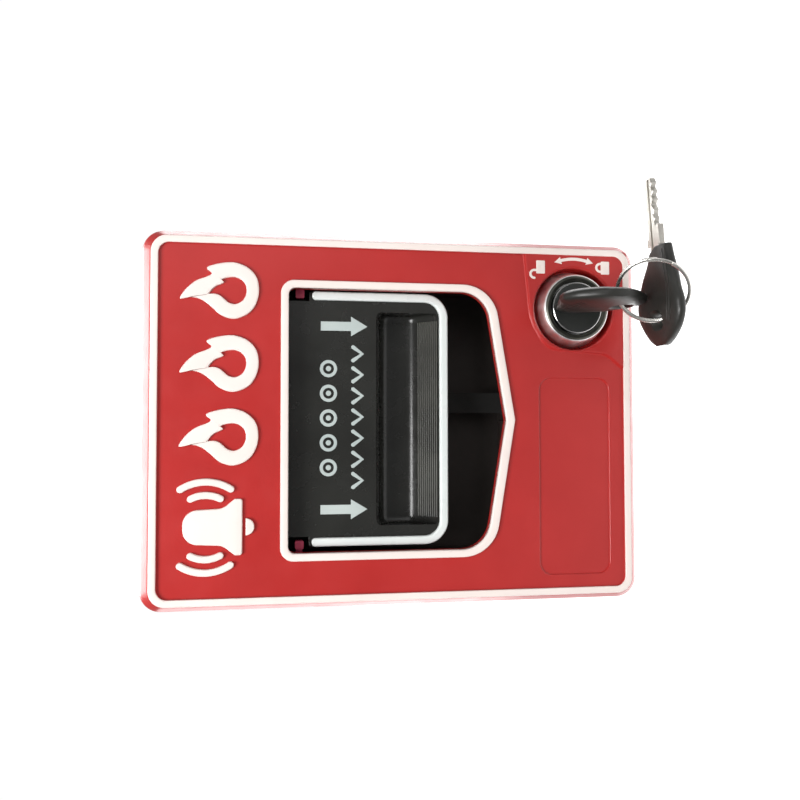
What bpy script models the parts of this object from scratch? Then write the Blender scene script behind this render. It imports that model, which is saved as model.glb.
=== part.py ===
"""A dual-action manual call point: push the handle in, then pull it down. One object per real piece.

X runs to the right as seen from the front, Z up, and the front faces -Y. The wall is the plane Y = 0 and
the origin is the middle of the back plate's rear face. "Depth" below is the distance in front of the wall.
"""

from math import atan2, copysign, cos, pi, radians, sin

import bmesh
import bpy
from mathutils import Matrix, Vector

MM = 0.001

# Cover
COVER_WIDTH = 104.0 * MM
COVER_HEIGHT = 142.0 * MM
COVER_CORNER = 5.8 * MM
COVER_EDGE_DEPTH = 1.5 * MM  # rear edge of the side walls
WALL = 2.5 * MM
RIM_DEPTH = 36.0 * MM  # front of the raised rim
RIM_WIDTH = 96.3 * MM  # inside the rim
RIM_HEIGHT = 132.6 * MM
RIM_BAND = 1.85 * MM
BEVEL_DEPTH = 4.2 * MM
PANEL_DEPTH = 35.0 * MM  # front of the panel inside the rim
PANEL_BACK = PANEL_DEPTH - WALL
RELIEF_DEPTH = 36.0 * MM  # front of the window frame
PAD_DEPTH = 35.8 * MM  # front of the raised pad round the lock

# Window: straight sides and a shallow V at the bottom
WINDOW_HALF_WIDTH = 36.6 * MM
WINDOW_TOP = 31.3 * MM
WINDOW_APEX = -30.7 * MM
WINDOW_SLOPE = 0.1645  # rise of the V towards each side
FRAME_BAND = 2.1 * MM
FRAME_BOTTOM_BAND = 2.5 * MM

# Hinge at the top edge
HINGE_Z = 66.0 * MM
HINGE_DEPTH = 5.6 * MM
PIN_RADIUS = 1.15 * MM
PIN_HOLE = 1.45 * MM
EAR_FROM = 33.5 * MM
EAR_TO = 37.5 * MM
LUG_FROM = 38.0 * MM
LUG_TO = 42.0 * MM

# Back plate
PLATE_WIDTH = 98.2 * MM
PLATE_BOTTOM = -68.1 * MM
PLATE_TOP = 62.5 * MM
PLATE_THICK = 3.0 * MM
RIB_DEPTH = 8.0 * MM
FIXING_SPACING = 83.3 * MM  # single-gang box

# Well behind the window
WELL_HALF_WIDTH = 40.3 * MM
WELL_TOP = 46.0 * MM
WELL_BOTTOM = -36.6 * MM
WELL_FRONT = 32.2 * MM
WELL_BACK = 10.0 * MM
WELL_WALL = 1.8 * MM
WELL_FLOOR = WELL_BACK + 2.0 * MM

# Handle
HANDLE_SHIFT = 0.5 * MM  # side play taken up to the right
HANDLE_HALF_WIDTH = 35.9 * MM
HANDLE_BOTTOM = -14.5 * MM
HANDLE_SHOULDER = 25.4 * MM
HANDLE_TOP = 35.0 * MM
HANDLE_FACE = 30.3 * MM
HANDLE_TRIM_FRONT = 31.5 * MM
HANDLE_BACK = 19.2 * MM
TRIM_BAND = 2.4 * MM
PULL_TRAVEL = 10.0 * MM

# Switch and the ramp that works it
SWITCH_Z = -50.0 * MM
PLUNGER_DEPTH = 17.6 * MM
PLUNGER_RADIUS = 1.05 * MM
PLUNGER_START = -3.6 * MM  # x of the end inside the switch
PLUNGER_END = 2.1 * MM  # x of the domed end
PLUNGER_TRAVEL = 2.0 * MM

# Lock and keys
LOCK_X = 32.4 * MM
LOCK_Z = -51.2 * MM
LOCK_FACE = 38.2 * MM
LOCK_BODY = 8.0 * MM
RECESS_RADIUS = 11.9 * MM
RECESS_FLOOR = 30.8 * MM
BOW_BASE = 39.2 * MM  # depth of the inserted key's shoulder
BOW_SECTIONS = [  # along the plastic head from its shoulder, middle, half width and half thickness, in mm
    (0.0, 1.6, 5.4, 1.7),
    (0.6, 1.6, 5.6, 1.9),
    (3.5, 1.3, 6.4, 2.2),
    (8.0, 0.4, 8.7, 2.6),
    (12.0, -0.5, 10.7, 2.6),
    (15.5, -0.6, 12.0, 2.7),
    (18.5, -0.5, 11.9, 2.6),
    (22.0, -0.3, 9.6, 2.3),
    (25.0, -0.6, 6.0, 1.8),
    (26.5, -0.8, 3.0, 1.2),
]
BOW_ROUNDING = 0.77  # 1 would make the sections true ovals, less makes them squarer
BOW_STEPS = 20
HOLE_HALF = (2.7 * MM, 2.4 * MM)  # half the ring hole, across and along the head
KEY_HOLE = (-4.2 * MM, 18.7 * MM)  # middle of the inserted key's ring hole, across and along its head
KEY_HOLE_LEAN = (0.545, 0.585)  # how the hole slants with the wire, per unit of thickness
SPARE_HOLE = (3.05 * MM, 19.1 * MM)
SPARE_HOLE_LEAN = (-0.95, 0.38)
BLADE_THICK = 1.6 * MM
BLADE_WIDTH = 8.0 * MM
TANG_HALF = 2.2 * MM
TANG_LENGTH = 6.0 * MM
RING_RADIUS = 9.14 * MM
RING_WIRE = 0.6 * MM
RING_CENTRE = (33.56 * MM, 62.83 * MM, -62.55 * MM)  # x, depth, z
RING_TURN = radians(41.8)  # about the upright, from facing the front
RING_LEAN = radians(22.8)  # top edge back towards the wall
SPARE_BASE = (46.3 * MM, 57.2 * MM, -66.7 * MM)  # x, depth, z of the spare key's shoulder
SPARE_TILT = radians(4.0)  # blade end up
RING_PIVOT = (32.4 * MM, 57.5 * MM, -55.15 * MM)  # where the wire passes the inserted head's hole
SPARE_PIVOT = (26.8 * MM, 59.9 * MM, -68.05 * MM)  # where the wire passes the spare head's hole

# Fixings, as (x, z) places on the cover
WELL_FIXINGS = [(x * MM, z * MM) for x in (-44.2, 44.2) for z in (38.0, -28.0)]
BOARD_FIXINGS = [(-41.0 * MM, -44.0 * MM), (-6.0 * MM, -62.5 * MM)]
SPRING_PLACES = [(-18.0 * MM, 15.5 * MM), (18.0 * MM, 15.5 * MM)]
TERMINALS = [(-42.0 + 5.0 * step) * MM for step in range(4)]
TERMINAL_Z = -60.4 * MM
ARM_SCREW = (5.5 * MM, -6.0 * MM)
STRIKE_SCREW = (32.4 * MM, -61.6 * MM)
SLOT_WIDTH = 0.7 * MM  # driver slot of every screw

CORNER_STEPS = 6
GAP = 0.3 * MM  # between neighbours that touch on the real object


# Shapes


def outline(*corners):
    """A closed outline from (a, b, radius) corners, each rounded by an arc of its radius."""
    points = []
    for index, (a, b, radius) in enumerate(corners):
        corner = Vector((a, b))
        if radius == 0.0:
            points.append((a, b))
            continue
        before = (Vector(corners[index - 1][:2]) - corner).normalized()
        after = (Vector(corners[(index + 1) % len(corners)][:2]) - corner).normalized()
        half = before.angle(after) / 2.0
        centre = corner + (before + after).normalized() * radius / sin(half)
        start = corner + before * radius / (sin(half) / cos(half)) - centre
        end = corner + after * radius / (sin(half) / cos(half)) - centre
        first = atan2(start.y, start.x)
        turn = (atan2(end.y, end.x) - first + pi) % (2.0 * pi) - pi
        for step in range(CORNER_STEPS + 1):
            angle = first + turn * step / CORNER_STEPS
            points.append((centre.x + radius * cos(angle), centre.y + radius * sin(angle)))
    return points


def rounded_box(width, height, radius, middle=(0.0, 0.0)):
    a = width / 2.0
    b = height / 2.0
    x, z = middle
    return outline(
        (x - a, z - b, radius), (x + a, z - b, radius), (x + a, z + b, radius), (x - a, z + b, radius)
    )


def circle(radius, x=0.0, z=0.0, steps=32):
    turns = [2.0 * pi * step / steps for step in range(steps)]
    return [(x + radius * cos(turn), z + radius * sin(turn)) for turn in turns]


def mesh_object(name, loops, ring=False):
    """Skins a row of point loops; ring joins the last loop to the first in place of end caps."""
    mesh = bpy.data.meshes.new(name)
    shape = bmesh.new()
    rows = [[shape.verts.new(point) for point in loop] for loop in loops]
    count = len(rows[0])
    pairs = list(zip(rows, rows[1:]))
    if ring:
        pairs.append((rows[-1], rows[0]))
    for low, high in pairs:
        for index in range(count):
            following = (index + 1) % count
            shape.faces.new((low[index], low[following], high[following], high[index]))
    if not ring:
        shape.faces.new(list(reversed(rows[0])))
        shape.faces.new(rows[-1])
    bmesh.ops.recalc_face_normals(shape, faces=shape.faces)
    shape.to_mesh(mesh)
    shape.free()
    mesh.shade_smooth()
    mesh.set_sharp_from_angle(angle=radians(35.0))
    made = bpy.data.objects.new(name, mesh)
    bpy.context.scene.collection.objects.link(made)
    return made


def loft(name, *sections):
    """A solid through (x-z outline, depth) sections, from back to front."""
    return mesh_object(name, [[(x, -depth, z) for x, z in shape] for shape, depth in sections])


def prism(name, shape, back, front):
    return loft(name, (shape, back), (shape, front))


def block(name, x, depth, z):
    """A box from (low, high) pairs in metres."""
    return prism(name, [(x[0], z[0]), (x[1], z[0]), (x[1], z[1]), (x[0], z[1])], *depth)


def bar(name, profile, x_from, x_to):
    """A (depth, z) profile drawn out along X."""
    return mesh_object(name, [[(x, -depth, z) for depth, z in profile] for x in (x_from, x_to)])


def rod(name, radius, x_from, x_to, depth, z, steps=16):
    return bar(name, [(depth + a, z + b) for a, b in circle(radius, steps=steps)], x_from, x_to)


def turned(name, profile, x, z, steps=32, ring=False):
    """A shape turned about an axis along Y from (radius, depth) points."""
    loops = [[(a, -depth, b) for a, b in circle(radius, x, z, steps)] for radius, depth in profile]
    return mesh_object(name, loops, ring)


def boolean(target, other, operation):
    modifier = target.modifiers.new(other.name, "BOOLEAN")
    modifier.operation = operation
    modifier.solver = "EXACT"
    modifier.object = other
    other.hide_render = True
    other.display_type = "WIRE"


def cut(target, *cutters):
    for cutter in cutters:
        boolean(target, cutter, "DIFFERENCE")
    return target


def join(target, *others):
    for other in others:
        boolean(target, other, "UNION")
    return target


# Materials


def material(name, colour, roughness, metallic=0.0):
    made = bpy.data.materials.new(name)
    made.use_nodes = True
    shader = made.node_tree.nodes["Principled BSDF"]
    shader.inputs["Base Color"].default_value = (*colour, 1.0)
    shader.inputs["Roughness"].default_value = roughness
    shader.inputs["Metallic"].default_value = metallic
    made.diffuse_color = (*colour, 1.0)
    return made


def make_materials():
    return {
        "red": material("red_plastic", (0.42, 0.035, 0.03), 0.3),
        "black": material("black_plastic", (0.02, 0.02, 0.018), 0.35),
        "well": material("well_plastic", (0.016, 0.013, 0.011), 0.5),
        "white": material("white_trim", (0.8, 0.82, 0.8), 0.4),
        "yellow": material("flag_yellow", (0.8, 0.55, 0.03), 0.5),
        "grey": material("plate_grey", (0.35, 0.36, 0.36), 0.5),
        "chrome": material("lock_chrome", (0.75, 0.75, 0.75), 0.12, 1.0),
        "steel": material("zinc_steel", (0.6, 0.6, 0.6), 0.35, 1.0),
        "dark": material("lock_dark", (0.03, 0.03, 0.03), 0.35, 0.6),
        "board": material("board_green", (0.03, 0.16, 0.07), 0.45),
        "terminal": material("terminal_green", (0.05, 0.3, 0.12), 0.45),
        "brass": material("brass", (0.7, 0.5, 0.2), 0.3, 1.0),
    }


# Bodies: each moving group hangs from an empty on its joint's axis


class Body:
    def __init__(self, name, place, parent=None):
        x, depth, z = place
        self.place = Vector((x, -depth, z))
        self.empty = bpy.data.objects.new(name, None)
        self.empty.location = self.place
        self.empty.empty_display_size = 5.0 * MM
        bpy.context.scene.collection.objects.link(self.empty)
        if parent:
            self.empty.parent = parent.empty
            self.empty.matrix_parent_inverse = Matrix.Translation(-parent.place)

    def hold(self, piece, finish):
        piece.data.materials.append(finish)
        piece.parent = self.empty
        piece.matrix_parent_inverse = Matrix.Translation(-self.place)
        return piece


# Cover and what is fixed to it


def window_outline(band_side, band_bottom, radius_top, radius_bottom):
    half = WINDOW_HALF_WIDTH + band_side
    top = WINDOW_TOP + band_side
    apex = WINDOW_APEX - band_bottom
    shoulder = apex + WINDOW_SLOPE * half
    return outline(
        (0.0, apex, 1.0 * MM),
        (half, shoulder, radius_bottom),
        (half, top, radius_top),
        (-half, top, radius_top),
        (-half, shoulder, radius_bottom),
    )


def pad_outline():
    right = RIM_WIDTH / 2.0 + 0.4 * MM
    bottom = -RIM_HEIGHT / 2.0 - 0.4 * MM
    return outline(
        (15.0 * MM, bottom, 0.0),
        (right, bottom, 0.0),
        (right, -36.0 * MM, 0.0),
        (19.6 * MM, -37.9 * MM, 10.5 * MM),
        (19.4 * MM, -62.0 * MM, 2.0 * MM),
    )


def front_cover():
    side = rounded_box(COVER_WIDTH, COVER_HEIGHT, COVER_CORNER)
    rim_outer = rounded_box(RIM_WIDTH + 2 * RIM_BAND, RIM_HEIGHT + 2 * RIM_BAND, 4.4 * MM)
    rim_inner = rounded_box(RIM_WIDTH, RIM_HEIGHT, 3.0 * MM)
    cover = loft(
        "front_cover",
        (side, COVER_EDGE_DEPTH),
        (side, RIM_DEPTH - BEVEL_DEPTH),
        (rim_outer, RIM_DEPTH),
        (rim_inner, RIM_DEPTH),
        (rim_inner, PANEL_DEPTH),
    )
    hollow = rounded_box(COVER_WIDTH - 2 * WALL, COVER_HEIGHT - 2 * WALL, 3.6 * MM)
    hollow_front = rounded_box(95.5 * MM, 132.0 * MM, 2.6 * MM)
    cut(cover, loft("cover_hollow", (hollow, 0.0), (hollow, 29.8 * MM), (hollow_front, PANEL_BACK)))
    hinge_relief = block("hinge_relief", (-60 * MM, 60 * MM), (0.0, 3.1 * MM), (62 * MM, 80 * MM))
    cut(cover, hinge_relief)
    frame = window_outline(FRAME_BAND, FRAME_BOTTOM_BAND, 3.6 * MM, 10.5 * MM)
    join(cover, prism("frame_band", frame, 34.0 * MM, RELIEF_DEPTH))
    join(cover, prism("lock_pad", pad_outline(), 34.0 * MM, PAD_DEPTH))
    cut(cover, prism("window", window_outline(0.0, 0.0, 2.0 * MM, 8.5 * MM), 30 * MM, 40 * MM))
    label = rounded_box(56.6 * MM, 21.1 * MM, 3.5 * MM, (-16.1 * MM, -51.35 * MM))
    cut(cover, prism("label_recess", label, 34.5 * MM, 40 * MM))
    join(cover, turned("lock_boss", [(14 * MM, 28.5 * MM), (14 * MM, 33.5 * MM)], LOCK_X, LOCK_Z))
    lock_seat = [
        (LOCK_BODY + 0.4 * MM, 20.0 * MM),
        (LOCK_BODY + 0.4 * MM, RECESS_FLOOR),
        (RECESS_RADIUS, RECESS_FLOOR),
        (RECESS_RADIUS, 40.0 * MM),
    ]
    cut(cover, turned("lock_seat", lock_seat, LOCK_X, LOCK_Z))
    for side_sign in (-1, 1):
        ends = sorted((side_sign * LUG_FROM, side_sign * LUG_TO))
        join(cover, rod("hinge_lug", 2.25 * MM, *ends, HINGE_DEPTH, HINGE_Z))
        join(cover, block("lug_web", ends, (4.2 * MM, 7.0 * MM), (HINGE_Z, 69.5 * MM)))
        cut(cover, rod("lug_hole", PIN_HOLE, ends[0] - MM, ends[1] + MM, HINGE_DEPTH, HINGE_Z))
    for x, z in WELL_FIXINGS:
        join(cover, turned("well_post", [(2.6 * MM, 28 * MM), (2.6 * MM, 33.5 * MM)], x, z, 16))
        cut(cover, turned("well_post_hole", [(1.5 * MM, 20 * MM), (1.5 * MM, 31 * MM)], x, z, 12))
    for x, z in BOARD_FIXINGS:
        join(cover, turned("board_post", [(2.4 * MM, 21.9 * MM), (2.4 * MM, 33.5 * MM)], x, z, 16))
        cut(cover, turned("board_post_hole", [(1.4 * MM, 20 * MM), (1.4 * MM, 28 * MM)], x, z, 12))
    return cover


def handle_well():
    middle = (WELL_TOP + WELL_BOTTOM) / 2.0
    height = WELL_TOP - WELL_BOTTOM
    outside = rounded_box(2 * WELL_HALF_WIDTH, height, 3.0 * MM, (0.0, middle))
    inside = rounded_box(
        2 * (WELL_HALF_WIDTH - WELL_WALL), height - 2 * WELL_WALL, 2.0 * MM, (0.0, middle)
    )
    well = prism("handle_well", outside, WELL_BACK, WELL_FRONT)
    cut(well, prism("well_hollow", inside, WELL_FLOOR, 40 * MM))
    for x, z in WELL_FIXINGS:
        inner = x - 5.0 * MM if x > 0 else x + 5.0 * MM
        ends = sorted((inner, x + 2.6 * MM if x > 0 else x - 2.6 * MM))
        span = (z - 3.0 * MM, z + 3.0 * MM)
        join(well, block("well_ear", ends, (25.4 * MM, 27.7 * MM), span))
        cut(well, turned("ear_hole", [(1.6 * MM, 20 * MM), (1.6 * MM, 30 * MM)], x, z, 12))
    for x, z in SPRING_PLACES:
        join(well, turned("spring_peg", [(1.6 * MM, 11 * MM), (1.6 * MM, 20 * MM)], x, z, 12))
    cut(well, block("arm_slot", (0, 10.5 * MM), (12.6 * MM, 24 * MM), (-40 * MM, -32 * MM)))
    return well


def screw(name, x, z, head_back, head_front, tip, head_radius=2.4 * MM, shank=1.1 * MM):
    """A screw along Y whose head is towards the wall, with a straight driver slot."""
    body = turned(
        name,
        [
            (head_radius * 0.8, head_back),
            (head_radius, head_back + 0.3 * MM),
            (head_radius, head_front),
            (shank, head_front),
            (shank, tip - 0.6 * MM),
            (shank * 0.4, tip),
        ],
        x,
        z,
        16,
    )
    slot_x = (x - SLOT_WIDTH / 2.0, x + SLOT_WIDTH / 2.0)
    slot_depth = (head_back - MM, head_back + 0.6 * MM)
    return cut(body, block(name + "_slot", slot_x, slot_depth, (z - 4 * MM, z + 4 * MM)))


def activation_flag():
    flag = block("activation_flag", (-29 * MM, 29 * MM), (22 * MM, 23.2 * MM), (24.5 * MM, 37 * MM))
    for x in (-22.0 * MM, 22.0 * MM):
        leg_depth = (WELL_FLOOR + GAP, 22.6 * MM)
        join(flag, block("flag_leg", (x - 1.5 * MM, x + 1.5 * MM), leg_depth, (33 * MM, 36.5 * MM)))
    return flag


def guide_lug(name, x):
    shape = rounded_box(2.3 * MM, 2.4 * MM, 0.4 * MM, (x, 28.0 * MM))
    lug = prism(name, shape, 28.0 * MM, 31.0 * MM)
    side = 1 if x > 0 else -1
    foot = sorted((x, side * (WELL_HALF_WIDTH - WELL_WALL - GAP)))
    return join(lug, block(name + "_foot", foot, (28.2 * MM, 29.6 * MM), (27.1 * MM, 28.9 * MM)))


def coil_spring(name, x, z):
    """An open coil round its peg, from the well's floor to the end of the carriage's cup."""
    turns = 5
    steps = 14
    radius = 2.4 * MM
    low = WELL_FLOOR + 0.6 * MM
    high = 23.4 * MM
    data = bpy.data.curves.new(name, "CURVE")
    data.dimensions = "3D"
    data.bevel_depth = 0.3 * MM
    data.bevel_resolution = 1
    data.use_fill_caps = True
    path = data.splines.new("POLY")
    path.points.add(turns * steps)
    for index, point in enumerate(path.points):
        share = index / (turns * steps)
        angle = 2.0 * pi * turns * share
        depth = low + (high - low) * share
        point.co = (x + radius * cos(angle), -depth, z + radius * sin(angle), 1.0)
    made = bpy.data.objects.new(name, data)
    bpy.context.scene.collection.objects.link(made)
    return made


def circuit_board():
    shape = outline(
        (-46.0 * MM, -65.0 * MM, 1.0 * MM),
        (-1.5 * MM, -65.0 * MM, 1.0 * MM),
        (-1.5 * MM, -41.0 * MM, 1.0 * MM),
        (-46.0 * MM, -41.0 * MM, 1.0 * MM),
    )
    board = prism("circuit_board", shape, 20.0 * MM, 21.6 * MM)
    for x, z in BOARD_FIXINGS:
        cut(board, turned("board_hole", [(1.6 * MM, 15 * MM), (1.6 * MM, 30 * MM)], x, z, 12))
    return board


def terminal_block():
    span = (-44.5 * MM, -24.5 * MM)
    profile = [(10, -64.4), (10, -57), (13, -55), (19.7, -55), (19.7, -64.4)]
    body = bar("terminal_block", [(depth * MM, z * MM) for depth, z in profile], *span)
    for x in TERMINALS:
        well = [(1.9 * MM, 12.4 * MM), (1.9 * MM, 9.0 * MM)]
        cut(body, turned("terminal_recess", well, x, TERMINAL_Z, 12))
        entry = (x - 1.4 * MM, x + 1.4 * MM)
        cut(body, block("wire_entry", entry, (13.6 * MM, 16.6 * MM), (-66 * MM, -60 * MM)))
    return body


def switch_body():
    span = (SWITCH_Z - 4.0 * MM, SWITCH_Z + 4.0 * MM)
    body = block("switch_body", (-20.0 * MM, -0.6 * MM), (14.2 * MM, 19.7 * MM), span)
    ridge = (-17.0 * MM, -4.0 * MM)
    join(body, block("switch_ridge", ridge, (13.2 * MM, 15.0 * MM), (-52.0 * MM, -48.0 * MM)))
    bore = rod("plunger_bore", PLUNGER_RADIUS + GAP, -6.2 * MM, 2 * MM, PLUNGER_DEPTH, SWITCH_Z)
    return cut(body, bore)


def switch_plunger():
    """A round pin with a domed end that faces the trip arm."""
    profile = [(1.0, PLUNGER_START), (1.0, 1.3 * MM), (0.85, 1.7 * MM), (0.6, 2.0 * MM), (0.3, PLUNGER_END)]
    loops = []
    for share, x in profile:
        section = circle(PLUNGER_RADIUS * share, steps=12)
        loops.append([(x, -(PLUNGER_DEPTH + a), SWITCH_Z + b) for a, b in section])
    return mesh_object("switch_plunger", loops)


# Carriage and handle


def handle_carriage():
    plate = block("handle_carriage", (-30 * MM, 30 * MM), (16.2 * MM, 18.9 * MM), (9 * MM, 22 * MM))
    for x, z in SPRING_PLACES:
        join(plate, turned("spring_cup", [(4.2 * MM, 17 * MM), (4.2 * MM, 25 * MM)], x, z, 20))
        cut(plate, turned("cup_bore", [(3.2 * MM, 10 * MM), (3.2 * MM, 24 * MM)], x, z, 20))
    for side in (-1, 1):
        ends = sorted((side * 25.0 * MM, side * 28.0 * MM))
        join(plate, block("guide_rail", ends, (17 * MM, 26.9 * MM), (9.6 * MM, 21.4 * MM)))
    return plate


def latch_spring():
    """A bent leaf on the carriage that holds the handle down once it has been pulled."""
    leaf = [(19.2, 20.5), (19.2, 12.0), (25.2, 10.6), (26.6, 13.2), (26.1, 13.5), (25.0, 11.5), (19.8, 12.6),
            (19.8, 20.5)]
    return bar("latch_spring", [(depth * MM, z * MM) for depth, z in leaf], -6.0 * MM, 6.0 * MM)


def handle_outline(inset, top):
    half = HANDLE_HALF_WIDTH - inset
    bottom = HANDLE_BOTTOM + inset
    return outline(
        (HANDLE_SHIFT - half, bottom, 6.8 * MM - inset),
        (HANDLE_SHIFT + half, bottom, 6.8 * MM - inset),
        (HANDLE_SHIFT + half, top, 0.0),
        (HANDLE_SHIFT - half, top, 0.0),
    )


def pull_handle():
    shell = prism("pull_handle", handle_outline(0.0, HANDLE_SHOULDER), 26.6 * MM, HANDLE_FACE)
    upper = (HANDLE_SHIFT - 33.2 * MM, HANDLE_SHIFT + 33.2 * MM)
    cut(shell, block("handle_relief", upper, (20 * MM, 27.3 * MM), (9.0 * MM, 40 * MM)))
    join(shell, block("handle_panel", upper, (27.3 * MM, HANDLE_FACE), (9.0 * MM, HANDLE_TOP)))
    lower = (HANDLE_SHIFT - 32.6 * MM, HANDLE_SHIFT + 32.6 * MM)
    join(shell, block("trough_back", lower, (HANDLE_BACK, 29.0 * MM), (-12.6 * MM, 8.2 * MM)))
    trough = [(31.0, 6.4), (30.1, 5.6), (24.0, 4.6), (22.2, 2.6), (22.2, -4.4), (23.4, -6.2), (29.4, -11.9),
              (31.0, -12.0)]
    profile = [(depth * MM, z * MM) for depth, z in trough]
    cut(shell, bar("finger_trough", profile, HANDLE_SHIFT - 30.4 * MM, HANDLE_SHIFT + 30.4 * MM))
    return shell


def handle_trim():
    """The white U that edges the grip, 0.3 mm clear of the handle's face."""
    half = HANDLE_HALF_WIDTH
    bottom = HANDLE_BOTTOM
    inner = half - TRIM_BAND
    top = 24.6 * MM
    lip = bottom + TRIM_BAND
    shape = outline(
        (HANDLE_SHIFT - half, bottom, 6.8 * MM),
        (HANDLE_SHIFT + half, bottom, 6.8 * MM),
        (HANDLE_SHIFT + half, top, 1.1 * MM),
        (HANDLE_SHIFT + inner, top, 1.1 * MM),
        (HANDLE_SHIFT + inner, lip, 4.4 * MM),
        (HANDLE_SHIFT - inner, lip, 4.4 * MM),
        (HANDLE_SHIFT - inner, top, 1.1 * MM),
        (HANDLE_SHIFT - half, top, 1.1 * MM),
    )
    return prism("handle_trim", shape, HANDLE_FACE + GAP, HANDLE_TRIM_FRONT)


def trip_arm():
    """A flat arm down from the handle; its ramp moves the switch plunger 0.2 mm for each mm of pull."""
    rest = PLUNGER_END + GAP
    pressed = rest - PLUNGER_TRAVEL
    outside = 8.5 * MM
    foot_bottom = SWITCH_Z - 0.6 * MM
    foot_top = -38.4 * MM
    back = 16.8 * MM
    foot = [
        (rest, foot_bottom),
        (outside, foot_bottom),
        (outside, foot_top),
        (pressed, foot_top),
        (pressed, SWITCH_Z + PULL_TRAVEL),
        (rest, SWITCH_Z),
    ]
    arm = prism("trip_arm", foot, back, 23.0 * MM)
    join(arm, block("arm_strip", (rest, outside), (back, 18.9 * MM), (-40 * MM, -1.5 * MM)))
    hole = [(1.4 * MM, 10 * MM), (1.4 * MM, 30 * MM)]
    return cut(arm, turned("arm_hole", hole, *ARM_SCREW, 12))


# Lock, keys and ring


def lock_housing():
    profile = [(8.0, 12.0), (8.0, 31.1), (11.2, 31.1), (11.2, 31.9), (9.7, 37.5), (9.2, 38.2), (7.6, 38.2)]
    profile += [(7.6, 35.7), (5.8, 35.7), (5.8, 12.0)]
    shape = [(radius * MM, depth * MM) for radius, depth in profile]
    return turned("lock_housing", shape, LOCK_X, LOCK_Z, 32, ring=True)


def lock_nut():
    nut = prism("lock_nut", circle(11.0 * MM, LOCK_X, LOCK_Z, 6), 25.0 * MM, 28.2 * MM)
    return cut(nut, turned("nut_hole", [(8.3 * MM, 20 * MM), (8.3 * MM, 30 * MM)], LOCK_X, LOCK_Z))


def lock_plug():
    profile = [(3.0, 8.0), (3.0, 11.4), (5.5, 11.4), (5.5, 36.0), (7.25, 36.0), (7.25, 38.1), (6.9, 38.5)]
    plug = turned("lock_plug", [(r * MM, depth * MM) for r, depth in profile], LOCK_X, LOCK_Z)
    half_slot = (BLADE_THICK / 2 + GAP, BLADE_WIDTH / 2 + GAP)
    across = (LOCK_X - half_slot[0], LOCK_X + half_slot[0])
    along = (LOCK_Z - half_slot[1], LOCK_Z + half_slot[1])
    cut(plug, block("keyway", across, (17.0 * MM, 40 * MM), along))
    hole = [(1.4 * MM, 5 * MM), (1.4 * MM, 11 * MM)]
    return cut(plug, turned("cam_screw_hole", hole, LOCK_X, LOCK_Z, 12))


def lock_cam():
    reach = 14.0 * MM
    shape = outline(
        (LOCK_X - 4.6 * MM, LOCK_Z - 4.6 * MM, 4.4 * MM),
        (LOCK_X + reach, LOCK_Z - 4.6 * MM, 2.0 * MM),
        (LOCK_X + reach, LOCK_Z + 4.6 * MM, 2.0 * MM),
        (LOCK_X - 4.6 * MM, LOCK_Z + 4.6 * MM, 4.4 * MM),
    )
    cam = prism("lock_cam", shape, 8.9 * MM, 10.9 * MM)
    hole = [(3.3 * MM, 5 * MM), (3.3 * MM, 15 * MM)]
    return cut(cam, turned("cam_hole", hole, LOCK_X, LOCK_Z, 20))


def bow_body(name, place):
    """The plastic head, skinned over squared ovals that swell and thin along it."""
    loops = []
    for along, middle, half_width, half_thick in BOW_SECTIONS:
        loop = []
        for step in range(BOW_STEPS):
            turn = 2.0 * pi * step / BOW_STEPS
            across = middle + half_width * copysign(abs(cos(turn)) ** BOW_ROUNDING, cos(turn))
            through = half_thick * copysign(abs(sin(turn)) ** BOW_ROUNDING, sin(turn))
            loop.append(place(across * MM, along * MM, through * MM))
        loops.append(loop)
    return mesh_object(name, loops)


def ring_hole(name, middle, lean, place):
    """A cutter for the ring hole, slanted the way the wire passes through the head."""
    shape = rounded_box(2 * HOLE_HALF[0], 2 * HOLE_HALF[1], 1.8 * MM, middle)
    loops = []
    for through in (-6 * MM, 6 * MM):
        loops.append([place(a + lean[0] * through, b + lean[1] * through, through) for a, b in shape])
    return mesh_object(name, loops)


def blade_outline():
    """The steel blade as (across, along): the tang reaches into the head, the tip points away from it."""
    back = [(-4.0, -0.6), (-4.0, -2.5), (-3.0, -3.1), (-3.0, -16.9), (-1.8, -19.1), (0.2, -19.1)]
    cuts = [(1.0, -17.6), (0.4, -16.6), (1.2, -15.4), (0.6, -14.2), (1.3, -13.0), (0.3, -11.8)]
    stop = [(1.2, -10.4), (0.6, -9.0), (1.2, -7.8), (1.2, -6.0), (3.1, -6.0), (3.1, -0.6)]
    steel = [(across * MM, along * MM) for across, along in back + cuts + stop]
    neck = -0.6 * MM
    tang = [(TANG_HALF, neck), (TANG_HALF, TANG_LENGTH), (-TANG_HALF, TANG_LENGTH), (-TANG_HALF, neck)]
    return steel + tang


def key_plate(name, shape, thickness, place):
    """A flat (across, along) outline of the given thickness, put where the key lies."""
    half = thickness / 2.0
    return mesh_object(name, [[place(a, b, c) for a, b in shape] for c in (-half, half)])


def in_lock(across, along, through):
    """The inserted key: its head stands out of the lock, with its width along Z."""
    return (LOCK_X + through, -(BOW_BASE + along), LOCK_Z + across)


def on_ring(across, along, through):
    """The spare key: it lies across the ring, with its blade towards +X and its width along Y."""
    x, depth, z = SPARE_BASE
    flat_x = along * cos(SPARE_TILT) + through * sin(SPARE_TILT)
    rise = through * cos(SPARE_TILT) - along * sin(SPARE_TILT)
    return (x - flat_x, -(depth + across), z + rise)


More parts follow.
